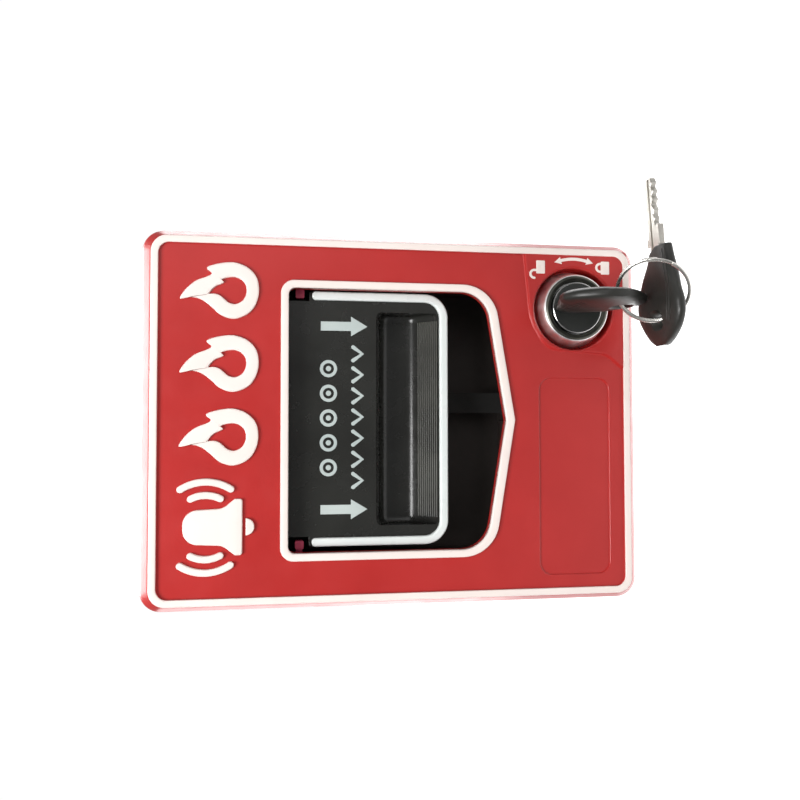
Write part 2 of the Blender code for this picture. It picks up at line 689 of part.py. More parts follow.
def make_key(prefix, body, place, hole, lean, finishes):
    blade = key_plate(prefix + "_blade", blade_outline(), BLADE_THICK, place)
    bow = bow_body(prefix + "_bow", place)
    cut(bow, ring_hole(prefix + "_hole", hole, lean, place))
    half = TANG_HALF + GAP
    end = TANG_LENGTH + GAP
    pocket = [(-half, -MM), (half, -MM), (half, end), (-half, end)]
    cut(bow, key_plate(prefix + "_pocket", pocket, BLADE_THICK + 2 * GAP, place))
    body.hold(blade, finishes["steel"])
    body.hold(bow, finishes["black"])


def key_ring():
    x, depth, z = RING_CENTRE
    sideways = Vector((cos(RING_TURN), -sin(RING_TURN), 0.0))
    upright = Vector((sin(RING_TURN) * sin(RING_LEAN), cos(RING_TURN) * sin(RING_LEAN), cos(RING_LEAN)))
    facing = sideways.cross(upright)
    steps = 36
    sides = 8
    loops = []
    for step in range(steps):
        turn = 2.0 * pi * step / steps
        outward = sideways * cos(turn) + upright * sin(turn)
        loop = []
        for side in range(sides):
            angle = 2.0 * pi * side / sides
            out = RING_RADIUS + RING_WIRE * cos(angle)
            loop.append(Vector((x, -depth, z)) + outward * out + facing * (RING_WIRE * sin(angle)))
        loops.append(loop)
    return mesh_object("key_ring", loops, ring=True)


# Back plate


def back_plate():
    middle = (PLATE_TOP + PLATE_BOTTOM) / 2.0
    height = PLATE_TOP - PLATE_BOTTOM
    plate = prism("back_plate", rounded_box(PLATE_WIDTH, height, 3.2 * MM, (0.0, middle)), 0.0, PLATE_THICK)
    inset = 1.4 * MM
    rib = 1.6 * MM
    outer = rounded_box(PLATE_WIDTH - 2 * inset, height - 2 * inset, 2.6 * MM, (0.0, middle))
    inner = rounded_box(
        PLATE_WIDTH - 2 * (inset + rib), height - 2 * (inset + rib), 1.6 * MM, (0.0, middle)
    )
    rib_loops = [(outer, 2.0 * MM), (outer, RIB_DEPTH), (inner, RIB_DEPTH), (inner, 2.0 * MM)]
    ring = mesh_object(
        "edge_rib", [[(x, -depth, z) for x, z in shape] for shape, depth in rib_loops], ring=True
    )
    join(plate, ring)
    cut(plate, block("strike_notch", (25 * MM, 40 * MM), (PLATE_THICK, 20 * MM), (-80 * MM, -60 * MM)))
    for side in (-1, 1):
        ends = sorted((side * EAR_FROM, side * EAR_TO))
        tip = [(HINGE_DEPTH + 2.2 * MM * cos(turn), HINGE_Z + 2.2 * MM * sin(turn))
               for turn in (pi * step / 8 for step in range(9))]
        profile = [(1.0 * MM, 57 * MM), (7.8 * MM, 57 * MM), *tip, (3.4 * MM, 62 * MM), (1.0 * MM, 62 * MM)]
        join(plate, bar("hinge_ear", profile, *ends))
        cut(plate, rod("ear_bore", PIN_HOLE, ends[0] - MM, ends[1] + MM, HINGE_DEPTH, HINGE_Z))
    entry = rounded_box(32 * MM, 20 * MM, 3.0 * MM, (0.0, -22.0 * MM))
    cut(plate, prism("cable_entry", entry, -5 * MM, 15 * MM))
    for z in (-FIXING_SPACING / 2.0, FIXING_SPACING / 2.0):
        slot = rounded_box(4.6 * MM, 10.0 * MM, 2.2 * MM, (0.0, z))
        cut(plate, prism("fixing_slot", slot, -5 * MM, 15 * MM))
    hole = [(1.4 * MM, 0.8 * MM), (1.4 * MM, 5 * MM)]
    cut(plate, turned("strike_hole", hole, *STRIKE_SCREW, 12))
    return plate


def hinge_pin(name, side):
    ends = sorted((side * (EAR_FROM - 1.0 * MM), side * (LUG_TO + 1.0 * MM)))
    return rod(name, PIN_RADIUS, *ends, HINGE_DEPTH, HINGE_Z, 16)


def latch_strike():
    """A bent bracket: the cam turns in behind its lip."""
    bent = [
        (3.3, -67.8),
        (3.3, -57.6),
        (4.6, -57.6),
        (4.6, -66.4),
        (12.4, -66.4),
        (12.4, -60.4),
        (13.8, -60.4),
        (13.8, -67.8),
    ]
    strike = bar("latch_strike", [(depth * MM, z * MM) for depth, z in bent], 26.9 * MM, 37.9 * MM)
    hole = [(1.4 * MM, 2 * MM), (1.4 * MM, 6 * MM)]
    return cut(strike, turned("strike_screw_hole", hole, *STRIKE_SCREW, 12))


def strike_screw():
    """The strike's screw, driven from the front, so its head is on the room side."""
    profile = [(0.5, 1.4), (1.1, 1.9), (1.1, 4.9), (2.2, 4.9), (2.2, 6.0), (1.8, 6.4)]
    shape = [(radius * MM, depth * MM) for radius, depth in profile]
    body = turned("strike_screw", shape, *STRIKE_SCREW, 16)
    x, z = STRIKE_SCREW
    slot_x = (x - SLOT_WIDTH / 2.0, x + SLOT_WIDTH / 2.0)
    return cut(body, block("strike_slot", slot_x, (5.8 * MM, 8 * MM), (z - 4 * MM, z + 4 * MM)))


# Assembly


def build():
    for old in list(bpy.data.objects):
        bpy.data.objects.remove(old)
    finish = make_materials()

    base = Body("base_body", (0.0, 0.0, 0.0))
    cover = Body("cover_body", (0.0, HINGE_DEPTH, HINGE_Z), base)
    carriage = Body("carriage_body", (0.0, 17.5 * MM, 15.5 * MM), cover)
    handle = Body("handle_body", (HANDLE_SHIFT, HANDLE_FACE, 0.0), carriage)
    plunger = Body("plunger_body", (PLUNGER_START, PLUNGER_DEPTH, SWITCH_Z), cover)
    lock = Body("lock_body", (LOCK_X, LOCK_FACE, LOCK_Z), cover)
    key = Body("key_body", (LOCK_X, BOW_BASE, LOCK_Z), lock)
    ring = Body("ring_body", RING_PIVOT, key)
    spare = Body("spare_body", SPARE_PIVOT, ring)

    base.hold(back_plate(), finish["grey"])
    base.hold(hinge_pin("hinge_pin_left", -1), finish["steel"])
    base.hold(hinge_pin("hinge_pin_right", 1), finish["steel"])
    base.hold(latch_strike(), finish["steel"])
    base.hold(strike_screw(), finish["steel"])

    cover.hold(front_cover(), finish["red"])
    cover.hold(handle_well(), finish["well"])
    for number, (x, z) in enumerate(WELL_FIXINGS, 1):
        name = f"well_screw_{number}"
        cover.hold(screw(name, x, z, 23.0 * MM, 25.1 * MM, 30.4 * MM), finish["steel"])
    cover.hold(activation_flag(), finish["yellow"])
    cover.hold(guide_lug("guide_lug_left", -34.9 * MM), finish["red"])
    cover.hold(guide_lug("guide_lug_right", 35.6 * MM), finish["red"])
    for side, (x, z) in zip(("left", "right"), SPRING_PLACES):
        cover.hold(coil_spring(f"push_spring_{side}", x, z), finish["steel"])
    cover.hold(circuit_board(), finish["board"])
    for number, (x, z) in enumerate(BOARD_FIXINGS, 1):
        name = f"board_screw_{number}"
        cover.hold(screw(name, x, z, 17.6 * MM, 19.6 * MM, 26.5 * MM), finish["steel"])
    cover.hold(terminal_block(), finish["terminal"])
    for number, x in enumerate(TERMINALS, 1):
        name = f"terminal_screw_{number}"
        made = screw(name, x, TERMINAL_Z, 10.3 * MM, 11.4 * MM, 12.1 * MM, 1.6 * MM, 1.0 * MM)
        cover.hold(made, finish["brass"])
    cover.hold(switch_body(), finish["black"])
    cover.hold(lock_housing(), finish["chrome"])
    cover.hold(lock_nut(), finish["steel"])

    carriage.hold(handle_carriage(), finish["black"])
    carriage.hold(latch_spring(), finish["steel"])
    handle.hold(pull_handle(), finish["black"])
    handle.hold(handle_trim(), finish["white"])
    handle.hold(trip_arm(), finish["black"])
    arm_screw = screw("arm_screw", *ARM_SCREW, 15.8 * MM, 16.5 * MM, 19.0 * MM, 2.2 * MM)
    handle.hold(arm_screw, finish["steel"])
    plunger.hold(switch_plunger(), finish["yellow"])

    lock.hold(lock_plug(), finish["dark"])
    lock.hold(lock_cam(), finish["steel"])
    cam_screw = screw("cam_screw", LOCK_X, LOCK_Z, 6.2 * MM, 7.7 * MM, 10.6 * MM, 4.0 * MM)
    lock.hold(cam_screw, finish["steel"])
    make_key("key", key, in_lock, KEY_HOLE, KEY_HOLE_LEAN, finish)
    ring.hold(key_ring(), finish["steel"])
    make_key("spare_key", spare, on_ring, SPARE_HOLE, SPARE_HOLE_LEAN, finish)


build()
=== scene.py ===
"""The looks of the manual call point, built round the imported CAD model.

Lengths are in metres, written as millimetres times MM. X runs to the right as seen from the front, Z up, and
"depth" is the distance in front of the wall, so a point at some depth has y = -depth.
"""

from math import atan2, copysign, cos, pi, radians, sin

import bmesh
import bpy
from mathutils import Matrix, Vector


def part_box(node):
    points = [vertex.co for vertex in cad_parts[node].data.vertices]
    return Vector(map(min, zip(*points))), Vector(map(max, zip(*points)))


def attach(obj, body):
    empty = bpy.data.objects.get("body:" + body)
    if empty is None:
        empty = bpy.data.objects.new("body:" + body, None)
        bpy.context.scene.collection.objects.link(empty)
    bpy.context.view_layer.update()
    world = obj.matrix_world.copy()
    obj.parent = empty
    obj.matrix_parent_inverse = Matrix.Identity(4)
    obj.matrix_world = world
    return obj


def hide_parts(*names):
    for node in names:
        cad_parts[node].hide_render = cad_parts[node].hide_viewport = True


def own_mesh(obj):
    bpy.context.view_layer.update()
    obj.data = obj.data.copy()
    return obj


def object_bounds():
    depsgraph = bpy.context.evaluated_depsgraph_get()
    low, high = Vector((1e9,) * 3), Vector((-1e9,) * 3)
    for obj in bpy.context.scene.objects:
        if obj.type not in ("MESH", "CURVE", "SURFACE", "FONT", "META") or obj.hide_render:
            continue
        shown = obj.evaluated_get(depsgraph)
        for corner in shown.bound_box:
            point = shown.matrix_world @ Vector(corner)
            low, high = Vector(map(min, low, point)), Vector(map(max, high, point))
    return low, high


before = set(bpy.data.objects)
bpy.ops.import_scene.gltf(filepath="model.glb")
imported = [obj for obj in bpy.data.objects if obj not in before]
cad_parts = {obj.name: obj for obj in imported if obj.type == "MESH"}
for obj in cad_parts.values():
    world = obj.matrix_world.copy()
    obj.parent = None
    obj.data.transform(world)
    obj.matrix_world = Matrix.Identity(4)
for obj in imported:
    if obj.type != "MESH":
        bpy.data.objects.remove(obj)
CAD_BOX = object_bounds()

MM = 0.001
CORNER_STEPS = 12

# Camera: where it stands, and where it looks
CAMERA_PLACE = (-3.42 * MM, -270.73 * MM, 39.41 * MM)
CAMERA_HEADING = radians(2.195)  # to the right of straight ahead
CAMERA_PITCH = radians(-9.448)
CAMERA_ROLL = radians(-89.72)  # the object's top is at the left of the view
CAMERA_LENS = 38.25
CAMERA_SENSOR = 36.0

# Cover
COVER_LOW, COVER_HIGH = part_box("front_cover")
COVER_WIDTH = COVER_HIGH.x - COVER_LOW.x
COVER_HEIGHT = COVER_HIGH.z - COVER_LOW.z
RIM_DEPTH = -COVER_LOW.y
COVER_EDGE_DEPTH = -COVER_HIGH.y
COVER_CORNER = 5.8 * MM
COVER_WALL = 2.5 * MM
RIM_WIDTH = 96.3 * MM
RIM_HEIGHT = 132.6 * MM
RIM_BAND = 1.85 * MM
RIM_CORNER = 3.0 * MM
PANEL_DEPTH = RIM_DEPTH - 1.0 * MM
PANEL_BACK = PANEL_DEPTH - COVER_WALL
PAD_DEPTH = RIM_DEPTH - 0.2 * MM

# Window
WINDOW_HALF_WIDTH = 36.6 * MM
WINDOW_TOP = 31.3 * MM
WINDOW_APEX = -30.7 * MM
WINDOW_SLOPE = 0.1645
FRAME_BAND = 2.1 * MM
FRAME_BOTTOM_BAND = 2.5 * MM

# Handle
HANDLE_LOW, HANDLE_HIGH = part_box("pull_handle")
HANDLE_X = (HANDLE_LOW.x + HANDLE_HIGH.x) / 2.0
HANDLE_HALF_WIDTH = (HANDLE_HIGH.x - HANDLE_LOW.x) / 2.0
HANDLE_BOTTOM = HANDLE_LOW.z
HANDLE_TOP = HANDLE_HIGH.z
HANDLE_FACE = -HANDLE_LOW.y
HANDLE_BACK = -HANDLE_HIGH.y
HANDLE_SHOULDER = 25.4 * MM
TRIM_FRONT = -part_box("handle_trim")[0].y
TRIM_BAND = 2.4 * MM
TRIM_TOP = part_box("handle_trim")[1].z

# Lock and keys
LOCK_LOW, LOCK_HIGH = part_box("lock_housing")
LOCK_X = (LOCK_LOW.x + LOCK_HIGH.x) / 2.0
LOCK_Z = (LOCK_LOW.z + LOCK_HIGH.z) / 2.0
BOW_BASE = -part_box("key_bow")[1].y
BOW_SECTIONS = [  # along the plastic head from its shoulder, middle, half width and half thickness, in mm
    (0.0, 1.6, 5.4, 1.7),
    (0.6, 1.6, 5.6, 1.9),
    (3.5, 1.3, 6.4, 2.2),
    (8.0, 0.4, 8.7, 2.6),
    (12.0, -0.5, 10.7, 2.6),
    (15.5, -0.6, 12.0, 2.7),
    (18.5, -0.5, 11.9, 2.6),
    (22.0, -0.3, 9.6, 2.3),
    (25.0, -0.6, 6.0, 1.8),
    (26.5, -0.8, 3.0, 1.2),
]
BOW_ROUNDING = 0.77  # 1 would make the sections true ovals, less makes them squarer
BOW_INSET = 0.14  # brings the smooth heads nearer to the CAD heads' flat facets, in mm
HOLE_HALF = (2.6 * MM, 2.3 * MM)  # half the ring hole, across and along the head
KEY_HOLE = (-4.2 * MM, 18.7 * MM)  # middle of the inserted key's ring hole, across and along its head
KEY_HOLE_LEAN = (0.545, 0.585)  # how the hole slants with the wire, per unit of thickness
SPARE_HOLE = (3.05 * MM, 19.1 * MM)
SPARE_HOLE_LEAN = (0.95, -0.38)
BLADE_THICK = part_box("key_blade")[1].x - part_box("key_blade")[0].x
BLADE_WIDTH = 8.0 * MM
SPARE_BASE = (46.3 * MM, 57.2 * MM, -66.7 * MM)  # x, depth, z of the spare key's shoulder
SPARE_TILT = radians(4.0)
RING_RADIUS = 9.14 * MM
RING_CENTRE = (33.56 * MM, 62.83 * MM, -62.55 * MM)
RING_TURN = radians(41.8)
RING_LEAN = radians(22.8)
RING_START = radians(10.0)  # where the wire's first end lies

# Push springs
SPRING_BACK = 12.6 * MM  # depth of the end that rests on the well's floor
SPRING_FRONT = 23.4 * MM
SPRING_RADIUS = 2.4 * MM
SPRING_WIRE = 0.3 * MM
SPRING_X = 18.0 * MM  # each side of the middle
SPRING_Z = 15.5 * MM


# Outlines


def outline(*corners, steps=CORNER_STEPS):
    """A closed outline from (a, b, radius) corners, each rounded by an arc of its radius."""
    points = []
    for index, (a, b, radius) in enumerate(corners):
        corner = Vector((a, b))
        if radius == 0.0:
            points.append((a, b))
            continue
        before = (Vector(corners[index - 1][:2]) - corner).normalized()
        after = (Vector(corners[(index + 1) % len(corners)][:2]) - corner).normalized()
        half = before.angle(after) / 2.0
        centre = corner + (before + after).normalized() * radius / sin(half)
        start = corner + before * radius / (sin(half) / cos(half)) - centre
        end = corner + after * radius / (sin(half) / cos(half)) - centre
        first = atan2(start.y, start.x)
        turn = (atan2(end.y, end.x) - first + pi) % (2.0 * pi) - pi
        for step in range(steps + 1):
            angle = first + turn * step / steps
            points.append((centre.x + radius * cos(angle), centre.y + radius * sin(angle)))
    return points


def rounded_box(width, height, radius, middle=(0.0, 0.0)):
    a = width / 2.0
    b = height / 2.0
    x, z = middle
    return outline(
        (x - a, z - b, radius), (x + a, z - b, radius), (x + a, z + b, radius), (x - a, z + b, radius)
    )


def circle(radius, x=0.0, z=0.0, steps=64):
    turns = [2.0 * pi * step / steps for step in range(steps)]
    return [(x + radius * cos(turn), z + radius * sin(turn)) for turn in turns]


def between(first, second, share):
    """The outline that lies a share of the way from one outline to another with as many points."""
    return [(a + (c - a) * share, b + (d - b) * share) for (a, b), (c, d) in zip(first, second)]


def offset(points, distance):
    """A closed outline moved outwards by a distance, or inwards where it is negative."""
    count = len(points)
    area = sum(points[i - 1][0] * points[i][1] - points[i][0] * points[i - 1][1] for i in range(count))
    side = 1.0 if area > 0.0 else -1.0
    moved = []
    for index in range(count):
        here = Vector(points[index])
        into = (here - Vector(points[index - 1])).normalized()
        out = (Vector(points[(index + 1) % count]) - here).normalized()
        normal = Vector((into.y + out.y, -into.x - out.x)).normalized()
        stretch = max(0.3, normal.dot(Vector((into.y, -into.x))))
        place = here + normal * side * distance / stretch
        moved.append((place.x, place.y))
    return moved


# Meshes


def skin(name, loops, ring=False, sharp=35.0):
    """Skins a row of point loops; ring joins the last loop to the first in place of end caps."""
    mesh = bpy.data.meshes.new(name)
    shape = bmesh.new()
    rows = [[shape.verts.new(point) for point in loop] for loop in loops]
    count = len(rows[0])
    pairs = list(zip(rows, rows[1:]))
    if ring:
        pairs.append((rows[-1], rows[0]))
    for low, high in pairs:
        for index in range(count):
            following = (index + 1) % count
            shape.faces.new((low[index], low[following], high[following], high[index]))
    if not ring:
        shape.faces.new(list(reversed(rows[0])))
        shape.faces.new(rows[-1])
    bmesh.ops.recalc_face_normals(shape, faces=shape.faces)
    shape.to_mesh(mesh)
    shape.free()
    made = bpy.data.objects.new(name, mesh)
    bpy.context.scene.collection.objects.link(made)
    return smooth(made, sharp)


def smooth(piece, sharp=35.0):
    piece.data.shade_smooth()
    piece.data.set_sharp_from_angle(angle=radians(sharp))
    return piece


def loft(name, sections, ring=False, sharp=35.0):
    """A solid through (x-z outline, depth) sections, from back to front."""
    loops = [[(x, -depth, z) for x, z in shape] for shape, depth in sections]
    return skin(name, loops, ring, sharp)


def prism(name, shape, back, front):
    return loft(name, [(shape, back), (shape, front)])


def block(name, x, depth, z):
    """A box from (low, high) pairs."""
    return prism(name, [(x[0], z[0]), (x[1], z[0]), (x[1], z[1]), (x[0], z[1])], *depth)


def soft_plate(name, shape, back, front, edge):
    """A flat plate whose front edge is rounded over by edge."""
    sections = [(shape, back), (shape, front - edge)]
    for step in range(1, 5):
        angle = pi / 2.0 * step / 4
        sections.append((offset(shape, -edge * (1.0 - cos(angle))), front - edge * (1.0 - sin(angle))))
    return loft(name, sections)


def bar(name, profile, x_from, x_to):
    """A (depth, z) profile drawn out along X."""
    return skin(name, [[(x, -depth, z) for depth, z in profile] for x in (x_from, x_to)])


def rod(name, radius, x_from, x_to, depth, z, steps=24):
    return bar(name, [(depth + a, z + b) for a, b in circle(radius, steps=steps)], x_from, x_to)


def turned(name, profile, x, z, steps=96, ring=False, sharp=35.0):
    """A shape turned about an axis along Y from (radius, depth) points."""
    loops = [[(a, -depth, b) for a, b in circle(radius, x, z, steps)] for radius, depth in profile]
    return skin(name, loops, ring, sharp)


def combine(target, operation, others):
    """Applies one kind of Boolean with each of the others in turn, and removes them."""
    for other in others:
        modifier = target.modifiers.new(other.name, "BOOLEAN")
        modifier.operation = operation
        modifier.solver = "EXACT"
        modifier.object = other
    bpy.context.view_layer.update()
    result = target.evaluated_get(bpy.context.evaluated_depsgraph_get())
    mesh = bpy.data.meshes.new_from_object(result)
    target.modifiers.clear()
    target.data = mesh
    for other in others:
        bpy.data.objects.remove(other)
    return smooth(target)


def cut(target, *cutters):
    return combine(target, "DIFFERENCE", cutters)


def join(target, *others):
    return combine(target, "UNION", others)


def even_shading(piece):
    """Keeps large flat faces flat beside their rounded edges."""
    modifier = piece.modifiers.new("even_shading", "WEIGHTED_NORMAL")
    modifier.keep_sharp = True
    modifier.weight = 80
    return piece


# Finishes


class Finish:
    """A Principled material with its own procedural detail; textures are laid in object space."""

    def __init__(self, name, roughness, metallic=0.0):
        self.material = bpy.data.materials.new(name)
        self.material.use_nodes = True
        self.tree = self.material.node_tree
        self.shader = self.tree.nodes["Principled BSDF"]
        self.shader.inputs["Metallic"].default_value = metallic
        self.shader.inputs["Roughness"].default_value = roughness
        self.roughness = roughness
        self.place = self.tree.nodes.new("ShaderNodeTexCoord").outputs["Object"]
        self.normal = None

    def noise(self, scale, detail=4.0, stretch=(1.0, 1.0, 1.0)):
        mapping = self.tree.nodes.new("ShaderNodeMapping")
        mapping.inputs["Scale"].default_value = stretch
        self.tree.links.new(self.place, mapping.inputs["Vector"])
        texture = self.tree.nodes.new("ShaderNodeTexNoise")
        texture.inputs["Scale"].default_value = scale
        texture.inputs["Detail"].default_value = detail
        self.tree.links.new(mapping.outputs["Vector"], texture.inputs["Vector"])
        return texture.outputs["Fac"]

    def spread(self, value, low, high, start=0.3, end=0.7):
        """Maps a value from start..end to low..high."""
        node = self.tree.nodes.new("ShaderNodeMapRange")
        node.inputs["From Min"].default_value = start
        node.inputs["From Max"].default_value = end
        node.inputs["To Min"].default_value = low
        node.inputs["To Max"].default_value = high
        self.tree.links.new(value, node.inputs["Value"])
        return node.outputs["Result"]

    def mix(self, share, first, second):
        node = self.tree.nodes.new("ShaderNodeMix")
        node.data_type = "RGBA"
        self.tree.links.new(share, node.inputs["Factor"])
        for socket, colour in ((node.inputs["A"], first), (node.inputs["B"], second)):
            if hasattr(colour, "is_output"):
                self.tree.links.new(colour, socket)
            else:
                socket.default_value = (*colour, 1.0)
        return node.outputs["Result"]

    def colour(self, value):
        self.tree.links.new(value, self.shader.inputs["Base Color"])
        return self

    def vary_roughness(self, value, swing):
        result = self.spread(value, self.roughness - swing, self.roughness + swing)
        self.tree.links.new(result, self.shader.inputs["Roughness"])
        return self

    def bump(self, height, distance, strength=1.0):
        node = self.tree.nodes.new("ShaderNodeBump")
        node.inputs["Strength"].default_value = strength
        node.inputs["Distance"].default_value = distance
        self.tree.links.new(height, node.inputs["Height"])
        if self.normal is not None:
            self.tree.links.new(self.normal, node.inputs["Normal"])
        self.normal = node.outputs["Normal"]
        self.tree.links.new(self.normal, self.shader.inputs["Normal"])
        return self

    def coat(self, weight, roughness):
        self.shader.inputs["Coat Weight"].default_value = weight
        self.shader.inputs["Coat Roughness"].default_value = roughness
        return self


def moulded(name, light, dark, roughness, grain=0.00002, grain_scale=1400.0, coat=0.0):
    """Moulded plastic: a fine orange peel, faint flow mottling and uneven gloss."""
    made = Finish(name, roughness)
    mottle = made.noise(60.0, 3.0)
    made.colour(made.mix(made.spread(mottle, 0.0, 1.0), dark, light))
    made.vary_roughness(made.noise(180.0, 5.0), 0.04)
    made.bump(made.noise(grain_scale, 2.0), grain)
    made.bump(made.noise(90.0, 2.0), grain * 2.0, 0.5)
    if coat:
        made.coat(coat, 0.12)
    return made.material


def metal(name, light, dark, roughness, stretch, scratch=0.000015):
    """Worn plated metal with fine scratches along one direction."""
    made = Finish(name, roughness, 1.0)
    made.colour(made.mix(made.spread(made.noise(150.0, 5.0), 0.0, 1.0), dark, light))
    made.vary_roughness(made.noise(500.0, 6.0, stretch), 0.08)
    made.bump(made.noise(700.0, 6.0, stretch), scratch)
    return made.material


def make_finishes():
    along_x = (0.1, 1.0, 1.0)
    along_y = (1.0, 0.1, 1.0)
    return {
        "red": moulded("red_plastic", (0.46, 0.022, 0.020), (0.42, 0.018, 0.016), 0.34, coat=0.12),
        "white_paint": moulded("white_paint", (0.90, 0.80, 0.75), (0.86, 0.75, 0.70), 0.38, 0.00004, 500.0),
        "trim_white": moulded("trim_white", (0.80, 0.84, 0.82), (0.74, 0.79, 0.77), 0.3),
        "handle_black": moulded("handle_black", (0.021, 0.0215, 0.019), (0.014, 0.014, 0.0125), 0.26),
        # the trip arm's black is darker than the handle black: painted shade for the shade inside the handle
        # opening
        "arm_painted_shade_black": moulded("arm_painted_shade_black", (0.008, 0.007, 0.006), (0.005, 0.005, 0.004), 0.75),
        # the grip ribs are lighter than the handle black: a painted highlight for the light on the
        # upward-facing lip
        "grip_painted_highlight_grey": moulded("grip_painted_highlight_grey", (0.10, 0.10, 0.085), (0.05, 0.05, 0.044), 0.4, 0.00005, 2200.0),
        "well": moulded("well_dark", (0.034, 0.026, 0.022), (0.024, 0.018, 0.015), 0.6),
        "print": moulded("print_grey", (0.50, 0.56, 0.54), (0.42, 0.48, 0.47), 0.5, 0.00001, 3000.0),
        "pink": moulded("lug_pink", (0.42, 0.04, 0.09), (0.36, 0.03, 0.07), 0.4),
        "chrome": metal("lock_chrome", (0.92, 0.91, 0.90), (0.80, 0.79, 0.78), 0.2, along_y),
        "bezel": metal("lock_bezel", (0.95, 0.94, 0.93), (0.86, 0.85, 0.84), 0.4, along_y),
        "lock_dark": metal("lock_dark", (0.13, 0.13, 0.11), (0.08, 0.08, 0.07), 0.36, (1.0, 1.0, 1.0)),
        "plug_black": moulded("plug_black", (0.02, 0.022, 0.02), (0.012, 0.013, 0.012), 0.34),
        "key_plastic": moulded("key_plastic", (0.022, 0.022, 0.019), (0.014, 0.014, 0.012), 0.42, 0.00003),
        "key_steel": metal("key_steel", (0.66, 0.64, 0.59), (0.50, 0.48, 0.44), 0.34, along_x),
        "ring_steel": metal("ring_steel", (0.95, 0.93, 0.88), (0.85, 0.83, 0.78), 0.26, (1.0, 1.0, 1.0)),
        "zinc": metal("zinc_steel", (0.62, 0.63, 0.64), (0.45, 0.46, 0.47), 0.34, along_x),
        "brass": metal("brass", (0.72, 0.52, 0.24), (0.55, 0.38, 0.16), 0.3, along_x),
        "plate": moulded("plate_grey", (0.34, 0.35, 0.35), (0.28, 0.29, 0.29), 0.5, 0.00006, 900.0),
        "yellow": moulded("flag_yellow", (0.78, 0.52, 0.03), (0.68, 0.44, 0.02), 0.45),
        "board": moulded("board_green", (0.02, 0.17, 0.06), (0.015, 0.12, 0.045), 0.35, 0.00003, 700.0),
        "terminal": moulded("terminal_green", (0.04, 0.28, 0.10), (0.03, 0.22, 0.08), 0.42),
    }


FINISH = make_finishes()


def place(piece, finish, body, slot, *nodes):
    """Gives a piece its finish and body, and hides the CAD nodes it stands for."""
    piece.data.materials.clear()
    piece.data.materials.append(FINISH[finish])
    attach(piece, body)
    if nodes:
        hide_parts(*nodes)
    return piece


# Cover


def window_outline(grow, grow_bottom, radius_top, radius_bottom):
    half = WINDOW_HALF_WIDTH + grow
    top = WINDOW_TOP + grow
    apex = WINDOW_APEX - grow_bottom
    shoulder = apex + WINDOW_SLOPE * half
    return outline(
        (0.0, apex, 1.0 * MM),
        (half, shoulder, radius_bottom),
        (half, top, radius_top),
        (-half, top, radius_top),
        (-half, shoulder, radius_bottom),
    )


def window_inside():
    return window_outline(0.0, 0.0, 2.0 * MM, 8.5 * MM)


def window_outside():
    return window_outline(FRAME_BAND, FRAME_BOTTOM_BAND, 3.6 * MM, 10.5 * MM)


def rim_inner():
    return rounded_box(RIM_WIDTH, RIM_HEIGHT, RIM_CORNER)


def rim_outer():
    return rounded_box(RIM_WIDTH + 2 * RIM_BAND, RIM_HEIGHT + 2 * RIM_BAND, 4.4 * MM)


def lock_seat_cutter():
    profile = [
        (8.4, 20.0),
        (8.4, 30.8),
        (11.3, 30.8),
        (11.7, 30.95),
        (11.9, 31.4),
        (11.9, 35.0),
        (12.0, 35.35),
        (12.2, 35.6),
        (12.5, 35.78),
        (12.9, 35.86),
        (12.9, 40.0),
    ]
    shape = [(radius * MM, depth * MM) for radius, depth in profile]
    return turned("lock_seat", shape, LOCK_X, LOCK_Z)


def label_cutter():
    label = rounded_box(56.6 * MM, 21.1 * MM, 3.5 * MM, (-16.1 * MM, -51.35 * MM))
    sections = [
        (-0.30, -0.50),
        (-0.10, -0.45),
        (0.00, -0.30),
        (0.06, -0.16),
        (0.18, -0.06),
        (0.40, 0.0),
        (0.60, 0.02),
        (0.60, 5.0),
    ]
    return loft("label", [(offset(label, grow * MM), PANEL_DEPTH + rise * MM) for grow, rise in sections])


